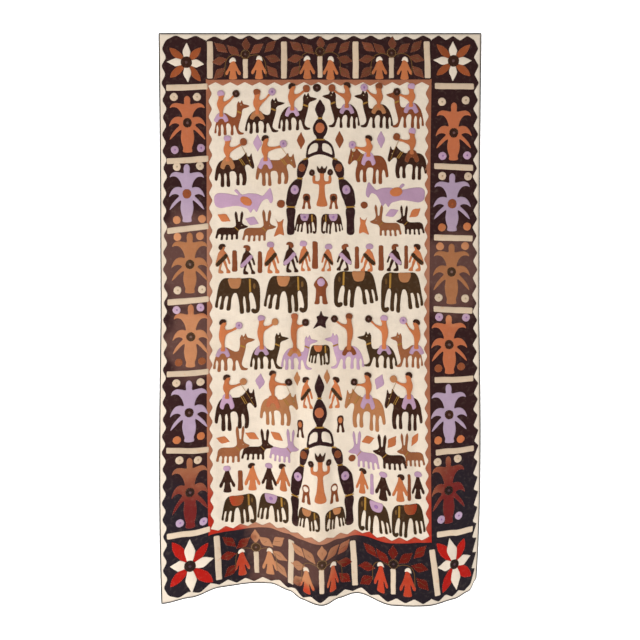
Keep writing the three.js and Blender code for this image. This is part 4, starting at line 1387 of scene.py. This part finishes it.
class KANDURI_OT_binding(bpy.types.Operator):
    """Roll the dark binding round the edge"""

    bl_idname = "kanduri.binding"
    bl_label = "Rolled binding"

    def execute(self, context):
        made = tools()
        half = context.scene.kanduri.binding_width / 2
        wide, top, low = CLOTH_HALF_WIDTH - half, half, CLOTH_LENGTH - half
        corners = [(-wide, top), (wide, top), (wide, low), (-wide, low)]
        route = []
        for (x0, y0), (x1, y1) in zip(corners, corners[1:] + corners[:1]):
            steps = int(math.hypot(x1 - x0, y1 - y0) / ROLL["pitch"])
            for step in range(steps):
                share = step / steps
                route.append((x0 + (x1 - x0) * share, y0 + (y1 - y0) * share))
        route = np.array(route)
        run = np.roll(route, -1, axis=0) - np.roll(route, 1, axis=0)
        run /= np.linalg.norm(run, axis=1, keepdims=True)
        outward = -quarter(run)
        length, sides = len(route), ROLL["sides"]
        rings, faces = [], []
        for side in range(sides):
            turn = 2 * math.pi * side / sides
            ripple = 1 + ROLL["ripple"] * np.sin(np.arange(length) * 1.9 + side)
            place = route + outward * (half * math.cos(turn) * ripple)[:, None]
            forward = ROLL["forward"] + ROLL["half_depth"] * math.sin(turn) * ripple
            # The whole roll carries part of the painted edge shade
            rim = np.full(length, BINDING_EDGE_SHADE)
            rings.append(np.column_stack([place, forward, rim, np.zeros(length)]))
            here, there = side * length, (side + 1) % sides * length
            for step in range(length):
                follow = (step + 1) % length
                faces.append((here + step, there + step, there + follow, here + follow))
        table = np.concatenate(rings)
        made.make(
            "binding", table, faces, ["binding"], [0] * len(faces), "binding", ("edge_binding",)
        )
        return {"FINISHED"}


# Border: seams against the field, the saw-toothed outer edge and the zigzag strips, in millimetres
BORDER_SEAMS = {"left": -477, "right_top": 466, "right_foot": 457, "top": 195}
FOOT_SEAM = ((-477, 2155), (-350, 2146), (-258, 2139), (-48, 2144), (226, 2142), (458, 2134))
TOOTH = {"pitch": 70, "shallow": 11, "deep": 30}
ZIGZAG = {"base": 8, "tooth": 16, "pitch": 63}
# Room between two cloths that lie on one level
CLOTH_GAP = 0.6
# How far the zigzag strips reach under the border, and the levels that let the border cover them
TUCK = 5
BORDER_LEVEL = 0.34
END_STRIP_LEVEL = 0.16
# Bars: where each one's middle lies at the edge of the cloth and at the field
BARS = {
    "left": (
        (227, 221), (533, 521), (825, 804), (1126, 1111), (1433, 1428), (1758, 1776), (2122, 2129),
    ),
    "right": (
        (221, 219), (560, 552), (856, 852), (1160, 1153), (1454, 1455), (1761, 1762), (2120, 2108),
    ),
    "top": ((-460, -461), (-151, -151), (148, 149), (445, 451)),
    "bottom": ((-442, -446), (-141, -132), (143, 133), (484, 459)),
}
# A bar's width, and where it starts at the edge of the cloth and ends at the field
BAR = {
    "width": 25, "left": (-645, -471), "right": (645, 481), "top": (35, 188), "bottom": (2364, 2166),
}


def teeth(start, end, pitch, middle, ends):
    """Return a run of teeth: places along it and how far each stands in, by turns."""
    count = max(1, round(abs(end - start) / pitch))
    return [
        (start + (end - start) * step / (2 * count), middle if step % 2 else ends)
        for step in range(2 * count + 1)
    ]


def toothed(side, start, end):
    """Return the saw-toothed run along one side of the cloth."""
    place = {
        "top": lambda along, inset: (along, inset),
        "bottom": lambda along, inset: (along, CLOTH_LENGTH - inset),
        "left": lambda along, inset: (inset - CLOTH_HALF_WIDTH, along),
        "right": lambda along, inset: (CLOTH_HALF_WIDTH - inset, along),
    }[side]
    return [
        place(along, inset + 2.2 * math.sin(along / 41))
        for along, inset in teeth(start, end, TOOTH["pitch"], TOOTH["shallow"], TOOTH["deep"])
    ]


def bar(outer, inner, start, end):
    """Return the outline of a bar that bends a little, as places (aside, along)."""
    half, middle, halfway = BAR["width"] / 2, (outer + inner) / 2, (start + end) / 2
    return [
        (outer - half, start), (middle - half + 1, halfway), (inner - half, end),
        (inner + half, end), (middle + half + 1, halfway), (outer + half, start),
    ]


def foot_seam(across):
    """Return how far down the lower border starts."""
    return float(np.interp(across, *zip(*FOOT_SEAM)))


def right_seam(down):
    """Return how far across the right border starts."""
    ends = (BORDER_SEAMS["right_top"], BORDER_SEAMS["right_foot"])
    return float(np.interp(down, (195, 2140), ends))


class KANDURI_OT_border(bpy.types.Operator):
    """Sew on the dark border, its zigzag strips and its cream bars"""

    bl_idname = "kanduri.border"
    bl_label = "Border"

    def execute(self, context):
        made = tools()
        left, top, gap = BORDER_SEAMS["left"], BORDER_SEAMS["top"], CLOTH_GAP
        deep, low = TOOTH["deep"], CLOTH_LENGTH
        corner = CLOTH_HALF_WIDTH - deep
        right_top, right_foot = right_seam(0), right_seam(low)
        border = Sewing(made)
        seam_y = np.linspace(deep, low - deep, 24)
        strips = (
            toothed("top", left, -corner) + toothed("left", deep, low - deep)[1:-1]
            + toothed("bottom", -corner, left) + [(left, y) for y in seam_y[::-1]],
            toothed("bottom", right_foot, corner) + toothed("right", low - deep, deep)[1:-1]
            + toothed("top", corner, right_top) + [(right_seam(y), y) for y in seam_y],
            [(x, top) for x in np.linspace(left - gap, right_seam(top) + gap, 34)]
            + toothed("top", right_top + gap, left - gap),
            toothed("bottom", left - gap, right_foot + gap)
            + [(x, foot_seam(x)) for x in np.linspace(right_foot + gap, left - gap, 40)],
        )
        for outline, corner_reach in zip(strips, (6, 3, 6, 3)):
            border.cut(outline, BORDER_LEVEL, "ink", hand=0, corner=corner_reach, sewn=False)
        sides = ("left", "right", "top", "bottom")
        border.finish("borders", "black", tuple("border_" + side for side in sides))
        outer = (
            toothed("top", -corner, left) + toothed("top", left - gap, right_top + gap)
            + toothed("top", right_top, corner) + toothed("right", deep, low - deep)[1:-1]
            + toothed("bottom", corner, right_foot) + toothed("bottom", right_foot + gap, left - gap)
            + toothed("bottom", left, -corner) + toothed("left", low - deep, deep)[1:-1]
        )
        made.seam(outer, made.level(BORDER_LEVEL) + made.thick)

        zigzag = Sewing(made)
        base, crest, pitch = ZIGZAG["base"], ZIGZAG["base"] + ZIGZAG["tooth"], ZIGZAG["pitch"]
        high = top - TUCK
        for side, seam in ((1, lambda y: left), (-1, right_seam)):
            foot = foot_seam(seam(low))
            run = teeth(top + crest, foot - crest, pitch, crest, base)
            run = [(high, base)] + run + [(foot + TUCK, base)]
            edge = [(seam(y) + side * h, y) for y, h in run]
            zigzag.cut(
                edge + [(seam(y) - side * TUCK, y) for y in np.linspace(foot + TUCK, high, 60)],
                0, "zigzag", hand=0, corner=4.5, sewn=False,
            )
            made.seam(edge[::side], made.level(0) + made.thick, closed=False)
        ends = ((lambda x: top, 1, right_seam(top)), (foot_seam, -1, right_seam(2130)))
        for seam, inward, right in ends:
            run = teeth(left + base, right - base, pitch, base, crest)
            edge = [(x, seam(x) + inward * h) for x, h in run]
            first = (left - TUCK, seam(left) + inward * base)
            last = (right + TUCK, seam(right) + inward * base)
            zigzag.cut(
                [first] + edge + [last]
                + [(x, seam(x) - inward * TUCK) for x in np.linspace(right + TUCK, left - TUCK, 60)],
                END_STRIP_LEVEL, "zigzag", hand=0, corner=2.5, sewn=False,
            )
            made.seam(edge[::-inward], made.level(END_STRIP_LEVEL) + made.thick, closed=False)
        zigzag.finish("zigzags", "terracotta", tuple("zigzag_" + side for side in sides))

        bars = Sewing(made)
        for side in BARS:
            for outer, inner in BARS[side]:
                outline = bar(outer, inner, *BAR[side])
                if side in ("left", "right"):
                    outline = [(along, aside) for aside, along in outline]
                else:
                    outline = outline[:1] + outline[:0:-1]
                bars.cut(outline, 1, "bar", corner=3)
        names = [f"bar_{side}_{place + 1}" for side in BARS for place in range(len(BARS[side]))]
        bars.finish("bars", "cream", names)
        return {"FINISHED"}


class KANDURI_OT_palms(bpy.types.Operator):
    """Sew on the palms, their eyes and dots"""

    bl_idname = "kanduri.palms"
    bl_label = "Palms"

    def execute(self, context):
        made = tools()
        by_cotton = {}
        eyes = Sewing(made)
        for side, table in (("left", LEFT_PALMS), ("right", RIGHT_PALMS)):
            for place, (across, eye, crown, foot, spread, name) in enumerate(table):
                half = [
                    (x * spread, y * (foot - eye if y > 0 else eye - crown)) for x, y in PALM_EDGE
                ]
                outline = [(across, crown)] + moved(half, across, eye)
                outline += moved(reversed(half), across, eye, -1)
                sewing, names = by_cotton.setdefault(name, (Sewing(made), []))
                sewing.cut(outline, 1, PALM_COTTONS.get(name, name), pitch=7.0)
                names.append(f"palm_{side}_{place + 1}")
                second = place == 1
                eyes.cut(blob(across, eye, 19, 20), 2, "brown" if second else "black")
                eyes.dot(across + 1, eye, 6, 6, 3, "petal" if second else "faded")
        for name, (sewing, names) in by_cotton.items():
            sewing.finish("palms_" + name, name, names)
        for across, down, name in DOTS:
            dot = blob(across, down, DOT_RADIUS * 0.98, DOT_RADIUS)
            eyes.cut(dot, 1, "bar" if name == "cream" else name, pitch=7.0)
            core = {"cream": "thread", "lilac": "purple"}.get(name)
            if core:
                eyes.dot(across + 1, down, 4, 4, 2, core, points=8)
        eyes.finish("palm_eyes_and_dots", "black")
        return {"FINISHED"}


class KANDURI_OT_flowers(bpy.types.Operator):
    """Sew on the eight-petalled corner flowers"""

    bl_idname = "kanduri.flowers"
    bl_label = "Corner flowers"

    def execute(self, context):
        made = tools()
        diagonals, crosses = Sewing(made), Sewing(made)
        for _, full, across, down, upright, slanted in FLOWERS:
            for tip in slanted:
                half_width = PETAL_HALF_WIDTH["diagonal"] * full
                outline = petal_outline(SLANTED_PETAL, (across, down), tip, half_width)
                diagonals.cut(outline, 1, "petal", corner=2.5)
            for tip in upright:
                half_width = PETAL_HALF_WIDTH["cross"] * full
                outline = petal_outline(UPRIGHT_PETAL, (across, down), tip, half_width)
                crosses.cut(outline, 2, "cream", corner=2.5)
        corners = [row[0] for row in FLOWERS]
        diagonals.finish(
            "flower_diagonals", "terracotta", [f"flower_{corner}_diagonal" for corner in corners]
        )
        crosses.finish("flower_crosses", "cream", [f"flower_{corner}_cross" for corner in corners])
        return {"FINISHED"}


class KANDURI_OT_panels(bpy.types.Operator):
    """Sew on the border panels' trees and figures, and the loose discs"""

    bl_idname = "kanduri.panels"
    bl_label = "Border panels"

    def execute(self, context):
        made = tools()
        sewing = Sewing(made)
        for disc_x, disc_y, leaves in PANEL_LEAVES:
            half_length, half_width = LEAF["top" if disc_y < CLOTH_LENGTH / 2 else "bottom"]
            for (x, y), turn in zip(leaves, LEAF_TURNS):
                size = 1.0 if turn else 0.86
                sewing.cut(pointed(x, y, half_length * size, half_width, turn), 1, "leaf")
                end_x, end_y = x + (disc_x - x) * 0.16, y + (disc_y - y) * 0.16
                vein = [(x + (x - end_x) * 0.6, y + (y - end_y) * 0.6), (x, y), (end_x, end_y)]
                sewing.band(vein, 1.5, 2, "bronze", thick=0.35)
            for side in (-1, 1):
                branch = smooth(moved(BRANCH, disc_x, disc_y, side))
                sewing.band(branch, 3.4, 1.6, "bronze", thick=0.4)
        for x, top, low in STEMS:
            stem = [(x - 11, top), (x + 11, top), (x + 10, low), (x - 10, low)]
            sewing.cut(stem, 1, "bar", corner=2.5)
        for row in BORDER_FIGURES:
            figure(sewing, FIGURE, row, 1)
        for across, down, radius, name, level in DISCS:
            sewing.cut(blob(across, down, radius, radius), level, name)
            if name == "black":
                sewing.dot(across, down, radius * 0.26, radius * 0.26, level + 1, "faded")
            if level == 2:
                sewing.cut(blob(across, down, radius + 3, radius + 3), level - 0.4, "bronze")
        sewing.finish("panel_trees", "madder")
        return {"FINISHED"}


class KANDURI_OT_rows(bpy.types.Operator):
    """Sew on the field's rows of animals, riders and walkers"""

    bl_idname = "kanduri.rows"
    bl_label = "Rows of the field"

    def execute(self, context):
        made = tools()
        beasts = Sewing(made)
        for row in CAMELS:
            beast(beasts, CAMEL, "camel", row)
        for row in HORSES:
            beast(beasts, HORSE, "horse", row)
        for row in ELEPHANTS:
            elephant(beasts, row)
        for row in DEERS:
            beast(beasts, DEER, "deer", row)
        for rump, nose, back, feet, name in BIRDS:
            beasts.cut(placed(BIRD, rump, nose, back, feet), 0, name)
        for wing in WINGS:
            beasts.cut(blob(*wing), 1, "orange")
        beasts.finish("animals", "black")

        riders = Sewing(made)
        for row in RIDERS:
            mounted(riders, row)
        for row in WALKERS:
            figure(riders, WALKER, row, 0)
            across, top, low, share, name = row[:5]
            route = [
                (across + x * share, top + y * (low - top))
                for x, y in ((22, 0.38), (2, 0.56), (-25, 0.76))
            ]
            sash = strip(route, 17 * abs(share))
            riders.cut(sash, 1, "lilac" if name == "black" else "olive", corner=5)
        for row in FIGURES:
            figure(riders, FIGURE, row, 0)
        for across, top, low, width, name in POSTS:
            half, middle = width / 2, (top + low) / 2
            riders.cut([
                (across - half, top), (across + half, top + 2), (across + half * 1.1, middle),
                (across + half * 1.2, low), (across - half * 1.2, low), (across - half, middle),
            ], 0, name, corner=5)
        for across, down, half_length, half_width, turn, name in POINTED:
            riders.cut(pointed(across, down, half_length, half_width, turn), 0, name)
        riders.cut(moved(STAR, *STAR_PLACE), 0, "ink", corner=4)
        riders.cut(moved(GATE, *GATE_PLACE), 0, "brown")
        riders.cut(blob(GATE_PLACE[0], GATE_PLACE[1] - 33, 16, 17), 1, "lilac")
        for knot in KNOTS:
            riders.cut(moved(KNOT, *knot), 0, "orange")
        riders.finish("riders_and_walkers", "terracotta")
        return {"FINISHED"}


class KANDURI_OT_shrines(bpy.types.Operator):
    """Sew on the two shrines with their columns and crowned figures"""

    bl_idname = "kanduri.shrines"
    bl_label = "Shrines"

    def execute(self, context):
        made = tools()
        sewing = Sewing(made)
        for lower, (crowned, held, attendants, disc) in enumerate(SHRINES):
            for pattern in (FINIAL, BULB, CAP):
                sewing.cut(lowered(pattern, lower), 0, "ink")
            for side in (-1, 1):
                for pattern in (UPPER_SIDE, LOWER_SIDE, COLUMN):
                    sewing.cut(lowered(moved(pattern, 0, 0, side), lower), 0, "ink")
                sewing.cut(lowered(moved(WINDOW, 0, 0, side), lower), 1, "cream")
            for x, y, radius, name, level in SHRINE_DISCS:
                (x, y), = lowered([(x, y)], lower)
                sewing.cut(blob(x, y, radius, radius * 1.15), level - 1, name)
                if name == "lilac":
                    sewing.dot(x, y, radius * 0.3, radius * 0.34, level, "purple")
            for ends in SHRINE_BANDS:
                sewing.band(lowered(ends, lower), 6, 1, "gold")
            sewing.cut(standing(CROWNED, *crowned, 1), 0, "orange")
            sewing.cut(standing(CROWN, *crowned, 1), 1, "black")
            for x, y in held:
                sewing.cut(blob(x, y, 12, 14), 1, "black")
                sewing.dot(x, y, 3.6, 4, 2, "faded", points=8)
            for x, top, low in attendants:
                sewing.cut(standing(LOOPED, x, top - 6, low, 0.95), 0, "brown")
                sewing.cut(blob(x, top + 14, 11, 12), 1, disc)
        for x, top, low in KEEPERS:
            sewing.cut(standing(LOOPED, x, top, low, 0.82), 0, "umber")
            sewing.cut(blob(x, top + 21, 9, 13), 1, "orange")
        sewing.finish("shrines", "black")
        return {"FINISHED"}


# Hem stitches in millimetres: half width, height, how far their ends sink into the cotton, and how
# far forward of the cloth's back the ends of those on the back lie
STITCH = {"half_width": 0.42, "height": 0.42, "sunk": 0.12, "back": 0.08}


class KANDURI_OT_stitches(bpy.types.Operator):
    """Sew every turned edge down with small stitches, on the front and through to the back"""

    bl_idname = "kanduri.stitches"
    bl_label = "Stitches"

    def execute(self, context):
        made = tools()
        half = context.scene.kanduri.stitch_length / 2
        seams = np.concatenate(made.seams)
        place, heading, forward = seams[:, :2], seams[:, 2:4], seams[:, 4]
        aside = quarter(heading) * STITCH["half_width"]
        count = len(place)
        for name, level, rise in (
            ("stitches_front", forward - STITCH["sunk"], STITCH["height"]),
            ("stitches_back", np.full(count, STITCH["back"]), -STITCH["height"]),
        ):
            rings = (
                (place - heading * half, level), (place + aside, level), (place, level + rise),
                (place - aside, level), (place + heading * half, level),
            )
            table = np.concatenate([
                np.column_stack([spot, height, np.zeros(count), np.zeros(count)])
                for spot, height in rings
            ])
            faces = []
            for index in range(count):
                a, b, c, d, e = (ring * count + index for ring in range(5))
                faces += [(a, b, c), (a, c, d), (e, c, b), (e, d, c), (a, d, b), (e, b, d)]
            made.make(name, table, faces, ["thread"], [0] * len(faces), "cream")
        return {"FINISHED"}


# Backdrop in metres: floor level, front edge, where its curve starts, the curve's radius, top, half
# width, and the steps of the curve
BACKDROP = {
    "floor": -2.62, "front": -2.2, "start": 3.2, "radius": 0.6, "top": 5.4, "half_width": 6.0,
    "steps": 12,
}
PAPER = {"Base Color": (0.95, 0.95, 0.95, 1), "Emission Color": (1, 1, 1, 1),
         "Emission Strength": 0.45, "Roughness": 0.95}
SKY = {"Color": (1.0, 0.995, 0.985, 1), "Strength": 0.45}
# Lights: name, place, aim, size in metres, power in watts
LIGHTS = (
    ("key", (-3.1, -2.0, -1.15), (0, 0, -1.45), 1.3, 66),
    ("fill", (2.2, -3.6, -1.5), (0, 0, -1.4), 3.0, 37),
    ("back", (0.0, 2.2, 1.8), (0, 3.6, -0.8), 2.5, 60),
)
CAMERA = {"sensor": 36, "lens": 38.475, "aim": (0, 0, -1.2)}


class KANDURI_OT_stage(bpy.types.Operator):
    """Set the pale floor and backdrop, the soft lights and the camera"""

    bl_idname = "kanduri.stage"
    bl_label = "Stage"

    def execute(self, context):
        scene = context.scene
        paper = bpy.data.materials.new("paper")
        shader = Graph(paper).shader
        for name, value in PAPER.items():
            shader.inputs[name].default_value = value
        start, radius, wide = BACKDROP["start"], BACKDROP["radius"], BACKDROP["half_width"]
        profile = [(BACKDROP["front"], 0.0)]
        for step in range(BACKDROP["steps"] + 1):
            turn = math.pi / 2 * step / BACKDROP["steps"]
            profile.append((start + radius * math.sin(turn), radius - radius * math.cos(turn)))
        profile.append((start + radius, BACKDROP["top"]))
        points = [(x, y, BACKDROP["floor"] + z) for y, z in profile for x in (-wide, wide)]
        faces = [(2 * i, 2 * i + 1, 2 * i + 3, 2 * i + 2) for i in range(len(profile) - 1)]
        mesh = bpy.data.meshes.new("backdrop")
        mesh.from_pydata(points, [], faces)
        mesh.materials.append(paper)
        for face in mesh.polygons:
            face.use_smooth = True
        backdrop = bpy.data.objects.new("backdrop", mesh)
        scene.collection.objects.link(backdrop)

        world = bpy.data.worlds.new("studio")
        world.use_nodes = True
        for name, value in SKY.items():
            world.node_tree.nodes["Background"].inputs[name].default_value = value
        scene.world = world
        for name, place, aim, size, power in LIGHTS:
            light = bpy.data.lights.new(name, "AREA")
            light.shape = "DISK"
            light.size = size
            light.energy = power
            lamp = bpy.data.objects.new(name, light)
            lamp.location = place
            heading = Vector(aim) - Vector(place)
            lamp.rotation_euler = heading.to_track_quat("-Z", "Y").to_euler()
            scene.collection.objects.link(lamp)

        camera = bpy.data.cameras.new("camera")
        camera.sensor_width = CAMERA["sensor"]
        camera.lens = CAMERA["lens"]
        viewer = bpy.data.objects.new("camera", camera)
        tilt = scene.kanduri.camera_elevation
        away = Vector((0, -math.cos(tilt), math.sin(tilt))) * scene.kanduri.camera_distance
        viewer.location = Vector(CAMERA["aim"]) + away
        viewer.rotation_euler = (math.pi / 2 - tilt, 0, 0)
        scene.collection.objects.link(viewer)
        scene.camera = viewer
        scene.view_settings.view_transform = "Standard"
        return {"FINISHED"}


class KANDURI_PT_sidebar(bpy.types.Panel):
    """The cloth's sizes and the steps that make it"""

    bl_idname = "KANDURI_PT_sidebar"
    bl_label = "Kanduri cloth"
    bl_space_type = "VIEW_3D"
    bl_region_type = "UI"
    bl_category = "Kanduri"

    def draw(self, context):
        for name in KanduriSettings.__annotations__:
            self.layout.prop(context.scene.kanduri, name)
        for name in KanduriCottons.__annotations__:
            self.layout.prop(context.scene.kanduri_cottons, name)
        for step in STEPS:
            self.layout.operator(step.bl_idname)


STEPS = (
    KANDURI_OT_ground, KANDURI_OT_binding, KANDURI_OT_border, KANDURI_OT_palms, KANDURI_OT_flowers,
    KANDURI_OT_panels, KANDURI_OT_rows, KANDURI_OT_shrines, KANDURI_OT_stitches, KANDURI_OT_stage,
)
CLASSES = (KanduriSettings, KanduriCottons) + STEPS + (KANDURI_PT_sidebar,)


def register():
    for kind in CLASSES:
        bpy.utils.register_class(kind)
    bpy.types.Scene.kanduri = PointerProperty(type=KanduriSettings)
    bpy.types.Scene.kanduri_cottons = PointerProperty(type=KanduriCottons)


def unregister():
    del bpy.types.Scene.kanduri
    del bpy.types.Scene.kanduri_cottons
    for kind in reversed(CLASSES):
        bpy.utils.unregister_class(kind)


def main():
    """Build the cloth and its stage, step by step."""
    register()
    for step in STEPS:
        group, name = step.bl_idname.split(".")
        getattr(getattr(bpy.ops, group), name)()


if __name__ == "__main__":
    main()
